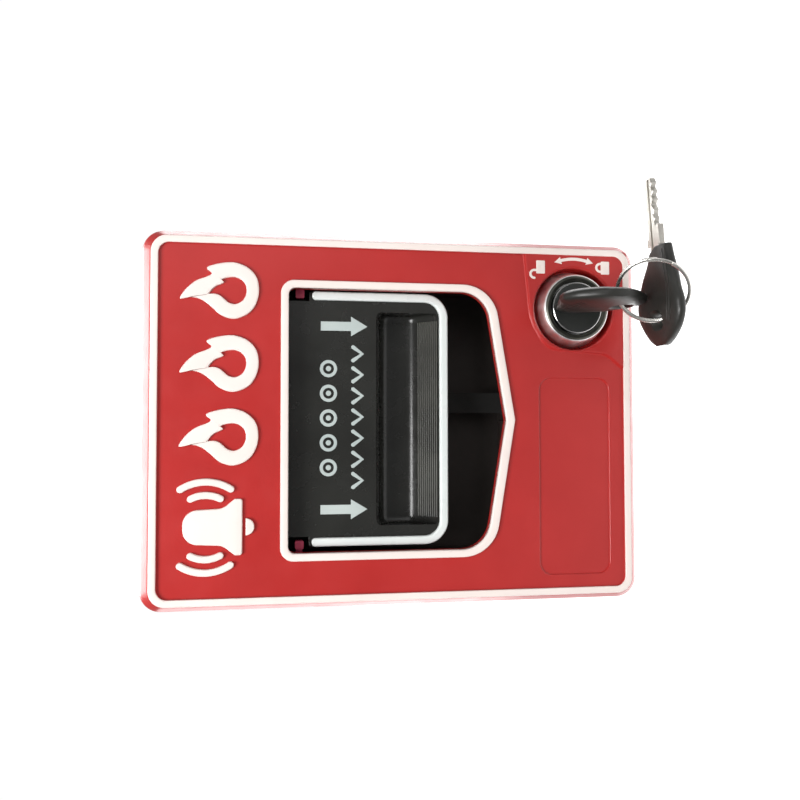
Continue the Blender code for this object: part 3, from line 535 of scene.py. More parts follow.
def cover_shell():
    side = rounded_box(COVER_WIDTH, COVER_HEIGHT, COVER_CORNER)
    outer = rim_outer()
    inner = rim_inner()
    bevel = [
        (0.012, 31.3),
        (0.05, 31.8),
        (0.12, 32.3),
        (0.22, 32.8),
        (0.80, 35.12),
        (0.92, 35.55),
        (1.00, 35.74),
        (1.12, 35.86),
    ]
    sections = [
        (offset(side, -0.35 * MM), COVER_EDGE_DEPTH),
        (offset(side, -0.1 * MM), COVER_EDGE_DEPTH + 0.1 * MM),
        (side, COVER_EDGE_DEPTH + 0.35 * MM),
        (side, 30.6 * MM),
    ]
    sections += [(between(side, outer, share), depth * MM) for share, depth in bevel]
    sections += [
        (inner, 35.86 * MM),
        (inner, 35.35 * MM),
        (offset(inner, -0.1 * MM), 35.1 * MM),
        (offset(inner, -0.35 * MM), PANEL_DEPTH),
    ]
    shell = loft("cover_shell", sections)
    hollow = rounded_box(COVER_WIDTH - 2 * COVER_WALL, COVER_HEIGHT - 2 * COVER_WALL, 3.6 * MM)
    hollow_front = rounded_box(95.5 * MM, 132.0 * MM, 2.6 * MM)
    cutters = [
        loft("hollow", [(hollow, 0.0), (hollow, 29.8 * MM), (hollow_front, PANEL_BACK)]),
        block("hinge_relief", (-60 * MM, 60 * MM), (0.0, 3.1 * MM), (62 * MM, 80 * MM)),
        prism("window", window_inside(), 25 * MM, 40 * MM),
        label_cutter(),
    ]
    cut(shell, *cutters)
    boss = turned("lock_boss", [(14 * MM, 28.5 * MM), (14 * MM, 33.5 * MM)], LOCK_X, LOCK_Z)
    posts = [boss]
    for side_sign in (-1, 1):
        ends = sorted((side_sign * 38.0 * MM, side_sign * 42.0 * MM))
        posts.append(rod("hinge_lug", 2.25 * MM, *ends, 5.6 * MM, 66.0 * MM))
        posts.append(block("lug_web", ends, (4.2 * MM, 7.0 * MM), (66.0 * MM, 69.5 * MM)))
    holes = [lock_seat_cutter()]
    for x in (-44.2 * MM, 44.2 * MM):
        for z in (38.0 * MM, -28.0 * MM):
            posts.append(turned("post", [(2.6 * MM, 28 * MM), (2.6 * MM, 33.5 * MM)], x, z, 32))
            holes.append(turned("hole", [(1.5 * MM, 20 * MM), (1.5 * MM, 31 * MM)], x, z, 24))
    for x, z in ((-41.0 * MM, -44.0 * MM), (-6.0 * MM, -62.5 * MM)):
        posts.append(turned("post", [(2.4 * MM, 21.9 * MM), (2.4 * MM, 33.5 * MM)], x, z, 32))
        holes.append(turned("hole", [(1.4 * MM, 20 * MM), (1.4 * MM, 28 * MM)], x, z, 24))
    join(shell, *posts)
    cut(shell, *holes)
    return even_shading(place(shell, "red", "cover", "red", "front_cover"))


def rim_paint():
    """The painted front of the rim, with its edges rounded over."""
    inner = rim_inner()
    outer = rim_outer()
    profile = [
        (-0.01, 35.5),
        (-0.01, 35.84),
        (0.03, 35.95),
        (0.10, 36.0),
        (0.82, 36.0),
        (0.93, 35.95),
        (1.01, 35.83),
        (1.04, 35.68),
        (0.90, 35.5),
    ]
    band = loft("rim_paint", [(between(inner, outer, s), depth * MM) for s, depth in profile], ring=True)
    return place(band, "white_paint", "cover", "white", "front_cover")


def window_frame():
    inner = window_inside()
    outer = window_outside()
    profile = [
        (0.0, 34.0),
        (0.0, 35.7),
        (0.05, 35.88),
        (0.16, 36.0),
        (0.80, 36.0),
        (0.93, 35.92),
        (1.0, 35.7),
        (1.02, 34.6),
    ]
    band = loft("window_frame", [(between(inner, outer, s), depth * MM) for s, depth in profile], ring=True)
    return place(band, "white_paint", "cover", "white", "front_cover")


def lock_pad():
    """The raised pad round the lock; its outer edges end inside the rim."""
    right = RIM_WIDTH / 2.0 + 1.3 * MM
    bottom = -RIM_HEIGHT / 2.0 - 1.3 * MM
    shape = outline(
        (13.9 * MM, bottom, 1.2 * MM),
        (right, bottom, 1.2 * MM),
        (right, -36.2 * MM, 1.2 * MM),
        (29.5 * MM, -38.1 * MM, 14.0 * MM),
        (20.6 * MM, -42.8 * MM, 7.0 * MM),
        (19.4 * MM, -61.0 * MM, 6.0 * MM),
    )
    sections = [(0.5, -0.3), (0.4, 0.02), (0.22, 0.08), (0.08, 0.22), (0.0, 0.45), (-0.1, 0.66), (-0.3, 0.77)]
    sections.append((-0.55, 0.8))
    pad = loft("lock_pad", [(offset(shape, grow * MM), PANEL_DEPTH + rise * MM) for grow, rise in sections])
    cut(pad, lock_seat_cutter())
    return even_shading(place(pad, "red", "cover", "red", "front_cover"))


# Raised marks


def blend(a, b, c, d, t):
    """Catmull-Rom: from b at t = 0 to c at t = 1, heading the way a and d suggest."""
    bend = 2 * a - 5 * b + 4 * c - d
    turn = 3 * b - a - 3 * c + d
    return 0.5 * (2 * b + (c - a) * t + bend * t**2 + turn * t**3)


def smooth_path(points, closed, steps=10):
    """A Catmull-Rom curve through (x, z) points."""
    count = len(points)
    path = []
    for index in range(count if closed else count - 1):
        if closed:
            four = [Vector(points[(index + shift) % count]) for shift in (-1, 0, 1, 2)]
        else:
            four = [Vector(points[min(max(index + shift, 0), count - 1)]) for shift in (-1, 0, 1, 2)]
        a, b, c, d = four
        for step in range(steps):
            point = blend(a, b, c, d, step / steps)
            path.append((point.x, point.y))
    if not closed:
        path.append(tuple(points[-1]))
    return path


def stroke(name, path, width, back, front, edge, closed=False):
    """A raised line with rounded shoulders along an (x, z) path; an open one gets round ends."""
    half = width / 2.0
    count = len(path)
    stations = []
    for index in range(count):
        before = Vector(path[index - 1] if closed or index else path[0])
        after = Vector(path[(index + 1) % count] if closed or index < count - 1 else path[-1])
        stations.append((Vector(path[index]), (after - before).normalized(), half))
    if not closed:
        first, last = stations[0], stations[-1]
        cap = [pi / 2.0 * step / 8 for step in range(1, 9)]
        widths = [max(half * cos(t), half * 0.02) for t in cap]
        start = [(first[0] - first[1] * half * sin(t), first[1], width) for t, width in zip(cap, widths)]
        end = [(last[0] + last[1] * half * sin(t), last[1], width) for t, width in zip(cap, widths)]
        stations = list(reversed(start)) + stations + end
    loops = []
    for middle, along, reach in stations:
        side = Vector((along.y, -along.x))
        soft = min(edge, reach * 0.9)
        section = [(reach, back), (reach, front - soft)]
        for step in range(1, 4):
            turn = pi / 2.0 * step / 4
            section.append((reach - soft * (1 - cos(turn)), front - soft * (1 - sin(turn))))
        section.append((reach - soft, front))
        section += [(-across, depth) for across, depth in reversed(section)]
        points = [(middle + side * across, depth) for across, depth in section]
        loops.append([(point.x, -depth, point.y) for point, depth in points])
    return skin(name, loops, ring=closed, sharp=50.0)


HEADING_FRONT = RIM_DEPTH - 0.05 * MM
HEADING_BACK = PANEL_DEPTH - 0.3 * MM


def flame_points(x, z, width, height, share=1.0):
    """A flame outline in a box with its lower left corner at (x, z), shrunk about its heart by a share."""
    shape = [
        (0.34, 1.0),
        (0.52, 0.92),
        (0.66, 0.80),
        (0.74, 0.66),
        (0.80, 0.60),
        (0.90, 0.66),
        (0.98, 0.50),
        (1.0, 0.30),
        (0.90, 0.12),
        (0.70, 0.01),
        (0.40, 0.0),
        (0.13, 0.10),
        (0.0, 0.30),
        (0.06, 0.48),
        (0.20, 0.60),
        (0.32, 0.72),
        (0.37, 0.86),
    ]
    heart = (0.5, 0.30)
    points = []
    for a, b in shape:
        across = heart[0] + (a - heart[0]) * share
        up = heart[1] + (b - heart[1]) * share
        points.append((x + across * width, z + up * height))
    return points


def heading():
    """Three generic flame outlines where the real heading stands, in strokes of the same weight."""
    profile = [(0.0, HEADING_BACK), (0.0, HEADING_FRONT - 0.4 * MM), (0.03, HEADING_FRONT - 0.16 * MM)]
    profile += [(0.10, HEADING_FRONT - 0.03 * MM), (0.16, HEADING_FRONT), (0.84, HEADING_FRONT)]
    profile += [(0.90, HEADING_FRONT - 0.03 * MM), (0.97, HEADING_FRONT - 0.16 * MM)]
    profile += [(1.0, HEADING_FRONT - 0.4 * MM), (1.0, HEADING_BACK)]
    for number, x in enumerate((-12.4, 7.6, 27.6), 1):
        outer = smooth_path(flame_points(x * MM, 39.6 * MM, 15.4 * MM, 20.9 * MM), True)
        inner = smooth_path(flame_points(x * MM, 39.6 * MM, 15.4 * MM, 20.9 * MM, 0.48), True)
        sections = [(between(inner, outer, share), depth) for share, depth in profile]
        place(loft(f"flame_{number}", sections, ring=True), "white_paint", "cover", "white")


def bell_symbol():
    """A generic alarm bell with sound arcs, where the real panel carries a mark."""
    middle = -29.0
    bell = outline(
        ((middle - 7.6) * MM, 43.6 * MM, 0.7 * MM),
        ((middle + 7.6) * MM, 43.6 * MM, 0.7 * MM),
        ((middle + 7.6) * MM, 45.6 * MM, 0.9 * MM),
        ((middle + 5.0) * MM, 48.8 * MM, 4.0 * MM),
        ((middle + 4.5) * MM, 59.4 * MM, 4.0 * MM),
        ((middle - 4.5) * MM, 59.4 * MM, 4.0 * MM),
        ((middle - 5.0) * MM, 48.8 * MM, 4.0 * MM),
        ((middle - 7.6) * MM, 45.6 * MM, 0.9 * MM),
    )
    turns = [pi + pi * step / 20 for step in range(21)]
    clapper = [((middle + 2.3 * cos(t)) * MM, (42.7 + 2.3 * sin(t)) * MM) for t in turns]
    parts = [
        soft_plate("bell", bell, HEADING_BACK, HEADING_FRONT, 0.4 * MM),
        soft_plate("bell_clapper", clapper, HEADING_BACK, HEADING_FRONT, 0.3 * MM),
    ]
    for side in (-1, 1):
        for number, (radius, spread) in enumerate(((8.6, 27.0), (12.2, 33.0)), 1):
            turns = [radians(spread * (2.0 * s / 16 - 1.0)) for s in range(17)]
            arc = [((middle + side * radius * cos(t)) * MM, (53.4 + radius * sin(t)) * MM) for t in turns]
            name = f"sound_arc_{'left' if side < 0 else 'right'}_{number}"
            parts.append(stroke(name, arc, 1.9 * MM, HEADING_BACK, HEADING_FRONT, 0.4 * MM))
    for part in parts:
        place(part, "white_paint", "cover", "white")


def lock_marks():
    """Plain open and closed padlocks with a double arrow between them."""
    back = PAD_DEPTH - 0.2 * MM
    front = PAD_DEPTH + 0.14 * MM
    lower = PAD_DEPTH + 0.11 * MM  # lines that run into a plate stay just under its front
    edge = 0.06 * MM

    def mark(piece):
        place(piece, "white_paint", "cover", "white")

    for name, x, z in (("open", 44.4, -41.1), ("closed", 44.65, -60.8)):
        shape = rounded_box(3.8 * MM, 2.6 * MM, 0.25 * MM, (x * MM, z * MM))
        plate = soft_plate(f"padlock_{name}", shape, back, front, edge)
        hole = [(0.42 * MM, front - 0.12 * MM), (0.42 * MM, front + MM)]
        cut(plate, turned("keyhole", hole, x * MM, z * MM, 24))
        mark(plate)
    turns = [pi * step / 12 for step in range(13)]
    arch = [((44.7 + 1.15 * cos(t)) * MM, (-59.3 + 1.15 * sin(t)) * MM) for t in turns]
    arch = [(arch[0][0], -59.7 * MM)] + arch + [(arch[-1][0], -59.7 * MM)]
    mark(stroke("shackle_closed", arch, 0.7 * MM, back, lower, edge))
    swung = [((42.35 + 1.15 * cos(t)) * MM, (-39.2 + 1.15 * sin(t)) * MM) for t in turns]
    swung = [(swung[0][0], -40.0 * MM)] + swung
    mark(stroke("shackle_open", swung, 0.7 * MM, back, lower, edge))
    reach = 14.6
    angles = [radians(-15.5 + 31.0 * step / 20) for step in range(21)]
    arc = [(LOCK_X + reach * MM * cos(t), LOCK_Z + reach * MM * sin(t)) for t in angles]
    mark(stroke("turn_arc", arc, 0.9 * MM, back, lower, edge))
    for name, angle, sign in (("up", angles[-1], 1.0), ("down", angles[0], -1.0)):
        middle = Vector((LOCK_X + reach * MM * cos(angle), LOCK_Z + reach * MM * sin(angle)))
        out = Vector((cos(angle), sin(angle)))
        along = Vector((-sin(angle), cos(angle))) * sign
        tip = [middle + along * 2.1 * MM, middle + out * 1.05 * MM, middle - out * 1.05 * MM]
        shape = [(point.x, point.y) for point in tip]
        mark(soft_plate(f"turn_arrow_{name}", shape, back, front, edge))


# Handle


def handle_outline(inset, top, corner=6.8 * MM):
    half = HANDLE_HALF_WIDTH - inset
    bottom = HANDLE_BOTTOM + inset
    return outline(
        (HANDLE_X - half, bottom, corner - inset),
        (HANDLE_X + half, bottom, corner - inset),
        (HANDLE_X + half, top - inset, 0.3 * MM),
        (HANDLE_X - half, top - inset, 0.3 * MM),
    )


def trough_cutter():
    """The finger trough, whose ends round into its floor."""
    profile = [
        (31.5, 6.9),
        (30.6, 6.5),
        (30.15, 6.2),
        (29.6, 5.8),
        (28.0, 5.2),
        (25.0, 4.7),
        (23.4, 4.0),
        (22.5, 3.0),
        (22.2, 1.8),
        (22.2, -3.6),
        (22.4, -4.8),
        (23.0, -5.8),
        (24.0, -6.8),
        (29.2, -11.7),
        (30.1, -12.0),
        (31.5, -12.1),
    ]
    middle = (30.3, -3.0)
    half = 30.4
    ends = [(0.0, 0.86), (0.15, 0.91), (0.5, 0.95), (1.1, 0.98), (2.0, 1.0)]
    stations = [(-half + inward, size) for inward, size in ends]
    stations += [(half - inward, size) for inward, size in reversed(ends)]
    loops = []
    for x, size in stations:
        section = []
        for depth, z in profile:
            scaled = (middle[0] + (depth - middle[0]) * size, middle[1] + (z - middle[1]) * size)
            section.append((HANDLE_X + x * MM, -(scaled[0]) * MM, scaled[1] * MM))
        loops.append(section)
    return skin("trough", loops)


def handle_body():
    shape = handle_outline(0.0, HANDLE_SHOULDER)
    shell = soft_plate("handle_shell", shape, 26.6 * MM, HANDLE_FACE, 0.25 * MM)
    upper = (HANDLE_X - 33.2 * MM, HANDLE_X + 33.2 * MM)
    cut(shell, block("relief", upper, (20 * MM, 27.3 * MM), (9.0 * MM, 40 * MM)))
    lower = (HANDLE_X - 32.6 * MM, HANDLE_X + 32.6 * MM)
    join(
        shell,
        block("panel", upper, (27.3 * MM, HANDLE_FACE), (9.0 * MM, HANDLE_TOP)),
        block("back", lower, (HANDLE_BACK, 29.0 * MM), (-12.6 * MM, 8.2 * MM)),
    )
    cut(shell, trough_cutter())
    return even_shading(place(shell, "handle_black", "handle", "black", "pull_handle"))


def handle_marks():
    """Down arrows as on the real handle, with plain push and pull symbols in place of its words."""
    back = HANDLE_FACE - 0.1 * MM
    front = HANDLE_FACE + 0.06 * MM
    edge = 0.02 * MM
    for name, x in (("left", -25.2), ("right", 26.7)):
        shape = [(-1.3, 22.1), (-1.3, 13.5), (-2.8, 13.5), (0.0, 8.8), (2.8, 13.5), (1.3, 13.5), (1.3, 22.1)]
        arrow = [((x + a) * MM, b * MM) for a, b in shape]
        place(soft_plate(f"arrow_{name}", arrow, back, front, edge), "print", "handle", "white")
    for number, x in enumerate((-14.0, -7.0, 0.0, 7.0, 14.0), 1):
        path = circle(2.0 * MM, (x + 0.6) * MM, 19.9 * MM, 40)
        ring = stroke(f"push_ring_{number}", path, 0.9 * MM, back, front, edge, True)
        place(ring, "print", "handle", "white")
        dot = circle(0.75 * MM, (x + 0.6) * MM, 19.9 * MM, 24)
        place(soft_plate(f"push_dot_{number}", dot, back, front, edge), "print", "handle", "white")
    for number in range(7):
        x = 0.9 + 6.0 * (number - 3)
        path = [((x - 1.9) * MM, 12.9 * MM), (x * MM, 10.3 * MM), ((x + 1.9) * MM, 12.9 * MM)]
        mark = stroke(f"pull_mark_{number + 1}", path, 1.1 * MM, back, front, edge)
        place(mark, "print", "handle", "white")


def handle_trim():
    half = HANDLE_HALF_WIDTH
    inner = half - TRIM_BAND
    lip = HANDLE_BOTTOM + TRIM_BAND
    shape = outline(
        (HANDLE_X - half, HANDLE_BOTTOM, 6.8 * MM),
        (HANDLE_X + half, HANDLE_BOTTOM, 6.8 * MM),
        (HANDLE_X + half, TRIM_TOP, 1.1 * MM),
        (HANDLE_X + inner, TRIM_TOP, 1.1 * MM),
        (HANDLE_X + inner, lip, 4.4 * MM),
        (HANDLE_X - inner, lip, 4.4 * MM),
        (HANDLE_X - inner, TRIM_TOP, 1.1 * MM),
        (HANDLE_X - half, TRIM_TOP, 1.1 * MM),
    )
    back = HANDLE_FACE - 0.1 * MM
    trim = soft_plate("handle_trim_band", shape, back, TRIM_FRONT, 0.55 * MM)
    return place(trim, "trim_white", "handle", "white", "handle_trim")


def grip_ribs():
    """Fine ribs along the sloping lip that the fingers pull on."""
    top = Vector((24.4, -7.1))
    bottom = Vector((29.2, -11.6))
    count = 10
    for number in range(count):
        middle = top.lerp(bottom, number / (count - 1))
        name = f"grip_rib_{number + 1}"
        ends = (HANDLE_X - 28.4 * MM, HANDLE_X + 28.4 * MM)
        rib = rod(name, 0.24 * MM, *ends, middle.x * MM, middle.y * MM, 12)
        # the ribs' lighter grey is a painted highlight of the light on the lip
        place(rib, "grip_painted_highlight_grey", "handle", "black")


# Lock


def lock_front():
    shell_profile = [
        (8.0, 12.0),
        (8.0, 31.1),
        (10.9, 31.1),
        (11.1, 31.2),
        (11.2, 31.5),
        (11.18, 31.9),
        (9.95, 36.9),
        (9.62, 37.55),
        (9.45, 37.75),
        (9.3, 37.8),
        (9.3, 35.7),
        (5.8, 35.7),
        (5.8, 12.0),
    ]
    shape = [(radius * MM, depth * MM) for radius, depth in shell_profile]
    shell = turned("lock_shell", shape, LOCK_X, LOCK_Z, ring=True)
    place(shell, "bezel", "cover", "chrome", "lock_housing")
    collar_profile = [(9.3, 36.2), (9.28, 37.75), (9.0, 38.05), (8.7, 38.15), (8.2, 38.0), (7.7, 37.7)]
    collar_profile.append((7.6, 36.2))
    shape = [(radius * MM, depth * MM) for radius, depth in collar_profile]
    collar = turned("lock_collar", shape, LOCK_X, LOCK_Z, ring=True)
    place(collar, "lock_dark", "cover", "dark", "lock_housing")


def lock_plug():
    profile = [
        (3.0, 8.0),
        (3.0, 11.4),
        (5.5, 11.4),
        (5.5, 36.0),
        (7.0, 36.0),
        (7.2, 36.2),
        (7.2, 38.1),
        (7.1, 38.3),
        (6.9, 38.42),
        (6.6, 38.46),
    ]
    plug = turned("lock_plug_body", [(r * MM, depth * MM) for r, depth in profile], LOCK_X, LOCK_Z)
    keyway_x = (LOCK_X - BLADE_THICK / 2 - 0.3 * MM, LOCK_X + BLADE_THICK / 2 + 0.3 * MM)
    keyway_z = (LOCK_Z - BLADE_WIDTH / 2 - 0.3 * MM, LOCK_Z + BLADE_WIDTH / 2 + 0.3 * MM)
    cut(plug, block("keyway", keyway_x, (17.0 * MM, 40 * MM), keyway_z))
    place(plug, "plug_black", "lock", "dark", "lock_plug")
    ring_profile = [(7.05, 38.2), (7.28, 38.2), (7.3, 38.42), (7.18, 38.5), (7.02, 38.46)]
    shape = [(radius * MM, depth * MM) for radius, depth in ring_profile]
    line = turned("plug_ring", shape, LOCK_X, LOCK_Z, ring=True)
    place(line, "chrome", "lock", "chrome", "lock_plug")


# Keys


def in_lock(across, along, through):
    return (LOCK_X + through, -(BOW_BASE + along), LOCK_Z + across)


def on_ring(across, along, through):
    x, depth, z = SPARE_BASE
    flat_x = along * cos(SPARE_TILT) - through * sin(SPARE_TILT)
    rise = -through * cos(SPARE_TILT) - along * sin(SPARE_TILT)
    return (x - flat_x, -(depth + across), z + rise)


def bow_stations(steps=5):
    """The head's sections with smooth in-between ones, never larger than the largest."""
    limits = [max(row[column] for row in BOW_SECTIONS) for column in range(4)]
    lowest = min(row[1] for row in BOW_SECTIONS)
    count = len(BOW_SECTIONS)
    stations = []
    for index in range(count - 1):
        rows = [BOW_SECTIONS[min(max(index + shift, 0), count - 1)] for shift in (-1, 0, 1, 2)]
        for step in range(steps):
            station = []
            for column in range(4):
                value = blend(*(row[column] for row in rows), step / steps)
                station.append(min(max(value, lowest), limits[column]))
            stations.append(station)
    stations.append(list(BOW_SECTIONS[-1]))
    for station in stations:
        station[2] -= BOW_INSET
        station[3] -= BOW_INSET
    return stations


def bow_loop(station, place_point, steps=48):
    """One squared oval across the head; its far side starts later, so the shoulder slopes."""
    along, middle, half_width, half_thick = station
    slope = max(0.0, 1.0 - along / 8.0) * 1.8
    loop = []
    for step in range(steps):
        turn = 2.0 * pi * step / steps
        share = copysign(abs(cos(turn)) ** BOW_ROUNDING, cos(turn))
        through = half_thick * copysign(abs(sin(turn)) ** BOW_ROUNDING, sin(turn))
        later = slope * max(0.0, -share)
        loop.append(place_point((middle + half_width * share) * MM, (along + later) * MM, through * MM))
    return loop


def surface_height(across, along):
    """How far the head's face stands from its middle plane at a place, in millimetres."""
    stations = bow_stations()
    for before, after in zip(stations, stations[1:]):
        if before[0] <= along <= after[0]:
            share = (along - before[0]) / (after[0] - before[0])
            middle, half_width, half_thick = (before[i] + (after[i] - before[i]) * share for i in (1, 2, 3))
            break
    reach = min(0.999, abs(across - middle) / half_width)
    power = 2.0 / BOW_ROUNDING
    return half_thick * (1.0 - reach**power) ** (1.0 / power)


def ring_hole(middle, lean, place_point):
    """A cutter for the ring hole, slanted the way the wire passes and flared at both faces."""
    levels = [(1.2, -3.6), (0.8, -2.6), (0.4, -2.1), (0.12, -1.6), (0.0, -1.0)]
    levels += [(grow, -level) for grow, level in reversed(levels)]
    shape = rounded_box(2 * HOLE_HALF[0], 2 * HOLE_HALF[1], 1.8 * MM, middle)
    loops = []
    for grow, level in levels:
        through = level * MM
        points = offset(shape, grow * MM)
        loops.append([place_point(a + lean[0] * through, b + lean[1] * through, through) for a, b in points])
    return skin("ring_hole", loops)


def key_sections(name, sections, place_point, sharp=35.0):
    loops = [[place_point(a, b, c) for a, b in shape] for shape, c in sections]
    return skin(name, loops, sharp=sharp)


def key_head(prefix, body, place_point, hole, lean, node):
    """A moulded head like a flat pebble, with a rounded ring hole."""
    head = skin(prefix + "_head", [bow_loop(station, place_point) for station in bow_stations()], sharp=50.0)
    cut(head, ring_hole(hole, lean, place_point))
    place(smooth(head, 50.0), "key_plastic", body, "key_plastic", node)


def head_ribs(prefix, body, place_point):
    """Two fine raised lines that follow the near edge of one face of the head."""
    path = [(1.2, 5.3), (3.5, 5.8), (6.0, 6.2), (8.5, 6.7), (11.0, 7.0), (14.0, 7.2)]
    path += [(17.0, 7.0), (20.5, 6.2)]
    curve = smooth_path(path, False, 6)
    for number, shift in enumerate((0.0, 0.95), 1):
        loops = []
        for along, across in curve:
            level = surface_height(across + shift, along)
            loop = []
            for step in range(8):
                turn = 2.0 * pi * step / 8
                wide = (across + shift + 0.15 * cos(turn)) * MM
                high = -(level + 0.13 * sin(turn)) * MM
                loop.append(place_point(wide, along * MM, high))
            loops.append(loop)
        rib = skin(f"{prefix}_rib_{number}", loops, sharp=70.0)
        place(rib, "key_plastic", body, "key_plastic")


def blade_outline():
    back = [(-4.0, -0.6), (-4.0, -2.3), (-3.85, -2.65), (-3.0, -3.1), (-3.0, -16.9)]
    tip = [(-2.5, -18.3), (-1.7, -19.05), (-1.2, -19.1), (0.0, -19.1), (0.4, -18.8), (1.0, -17.6)]
    cuts = [(0.4, -16.8), (0.4, -16.4), (1.2, -15.4), (1.2, -15.1), (0.6, -14.4), (0.6, -14.0)]
    cuts += [(1.3, -13.1), (1.3, -12.8), (0.3, -12.0), (0.3, -11.5), (1.2, -10.5), (1.2, -10.0)]
    cuts += [(0.7, -9.3), (0.7, -8.8), (1.1, -8.2), (1.1, -7.6), (0.8, -7.1)]
    stop = [(1.2, -6.4), (1.3, -6.0), (2.9, -6.0), (3.1, -5.8), (3.1, -0.6)]
    tang = [(2.2, -0.6), (2.2, 5.8), (-2.2, 5.8), (-2.2, -0.6)]
    return [(across * MM, along * MM) for across, along in back + tip + cuts + stop + tang]


def key_blade(prefix, body, place_point, node):
    half = BLADE_THICK / 2.0
    base = blade_outline()
    soft = 0.12 * MM
    inner = offset(base, -soft)
    sections = [(inner, -half), (base, -half + soft), (base, half - soft), (inner, half)]
    blade = key_sections(prefix + "_blade_cut", sections, place_point)
    depth = 0.4 * MM
    cutters = []
    for low, high, side in ((-1.5, -0.5, 1.0), (-1.5, -0.5, -1.0)):
        near, far = 1.0 * MM, -21.0 * MM
        groove = [(low * MM, near), (low * MM, far), (high * MM, far), (high * MM, near)]
        levels = sorted((side * (half - depth), side * (half + MM)))
        cutters.append(key_sections("groove", [(groove, level) for level in levels], place_point))
    cut(blade, *cutters)
    place(blade, "key_steel", body, "key_steel", node)


def split_ring():
    """Two turns of flattened wire lying side by side, as on a key ring."""
    x, depth, z = RING_CENTRE
    centre = Vector((x, -depth, z))
    sideways = Vector((cos(RING_TURN), -sin(RING_TURN), 0.0))
    upright = Vector((sin(RING_TURN) * sin(RING_LEAN), cos(RING_TURN) * sin(RING_LEAN), cos(RING_LEAN)))
    facing = sideways.cross(upright)
    steps = 180
    turns = 1.93
    sides = 12
    radial = 0.48 * MM
    axial = 0.23 * MM
    shift = 0.25 * MM
    loops = []
    for step in range(steps + 1):
        travelled = turns * step / steps
        cross = min(1.0, max(0.0, (travelled - 0.88) / 0.16))
        lift_middle = shift * (2.0 * cross * cross * (3.0 - 2.0 * cross) - 1.0)
        turn = RING_START + 2.0 * pi * travelled
        outward = sideways * cos(turn) + upright * sin(turn)
        loop = []
        for side in range(sides):
            angle = 2.0 * pi * side / sides
            out = RING_RADIUS + radial * cos(angle)
            lift = lift_middle + axial * sin(angle)
            loop.append(centre + outward * out + facing * lift)
        loops.append(loop)
    ring = skin("split_ring", loops, sharp=60.0)
    return place(ring, "ring_steel", "ring", "key_steel", "key_ring")


# Springs


def push_spring(side, x):
    """An open coil that stands on the well's floor."""
    turns = 5
    steps = 24
    sides = 10
    length = SPRING_FRONT - SPRING_BACK
    loops = []
    for step in range(turns * steps + 1):
        share = step / (turns * steps)
        angle = 2.0 * pi * turns * share
        outward = Vector((cos(angle), 0.0, sin(angle)))
        depth = SPRING_BACK + length * share
        middle = Vector((x, -depth, SPRING_Z)) + outward * SPRING_RADIUS
        loop = []
        for side_step in range(sides):
            turn = 2.0 * pi * side_step / sides
            around = outward * cos(turn) + Vector((0.0, sin(turn), 0.0))
            loop.append(middle + around * SPRING_WIRE)
        loops.append(loop)
    spring = skin(f"push_coil_{side}", loops, sharp=60.0)
    place(spring, "zinc", "cover", "steel", f"push_spring_{side}")
    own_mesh(spring)


# Pieces kept from the CAD model


def dress(node, finish, edge=0.15 * MM):
    """Gives a CAD node its finish and softens its edges."""
    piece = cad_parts[node]
    piece.data.materials.clear()
    piece.data.materials.append(FINISH[finish])
    if edge:
        modifier = piece.modifiers.new("soft_edges", "BEVEL")
        modifier.width = edge
        modifier.segments = 2
        modifier.limit_method = "ANGLE"
        modifier.angle_limit = radians(40.0)
        modifier.harden_normals = False


def dress_cad():
    finishes = {
        "plate": ["back_plate"],
        "zinc": ["hinge_pin_left", "hinge_pin_right", "latch_strike", "strike_screw", "lock_nut", "lock_cam"],
        "well": ["handle_well"],
        # the trip arm takes the darker black that paints the shade inside the handle opening
        "arm_painted_shade_black": ["trip_arm"],
        "yellow": ["activation_flag", "switch_plunger"],
        "pink": ["guide_lug_left", "guide_lug_right"],
        "board": ["circuit_board"],
        "terminal": ["terminal_block"],
        "handle_black": ["switch_body", "handle_carriage"],
    }
    finishes["zinc"] += [f"well_screw_{number}" for number in (1, 2, 3, 4)]
    finishes["zinc"] += ["board_screw_1", "board_screw_2", "arm_screw", "cam_screw"]
    for finish, nodes in finishes.items():
        for node in nodes:
            dress(node, finish)
    dress("latch_spring", "zinc", 0.0)
    for number in (1, 2, 3, 4):
        dress(f"terminal_screw_{number}", "brass", 0.05 * MM)


# Studio


def area_light(name, location, target, size, power, colour=(1.0, 1.0, 1.0)):
    data = bpy.data.lights.new(name, "AREA")
    data.shape = "DISK"
    data.size = size
    data.energy = power
    data.color = colour
    light = bpy.data.objects.new(name, data)
    light.location = location
    aim = Vector(target) - Vector(location)
    light.rotation_mode = "QUATERNION"
    light.rotation_quaternion = aim.to_track_quat("-Z", "Y")
    bpy.context.scene.collection.objects.link(light)


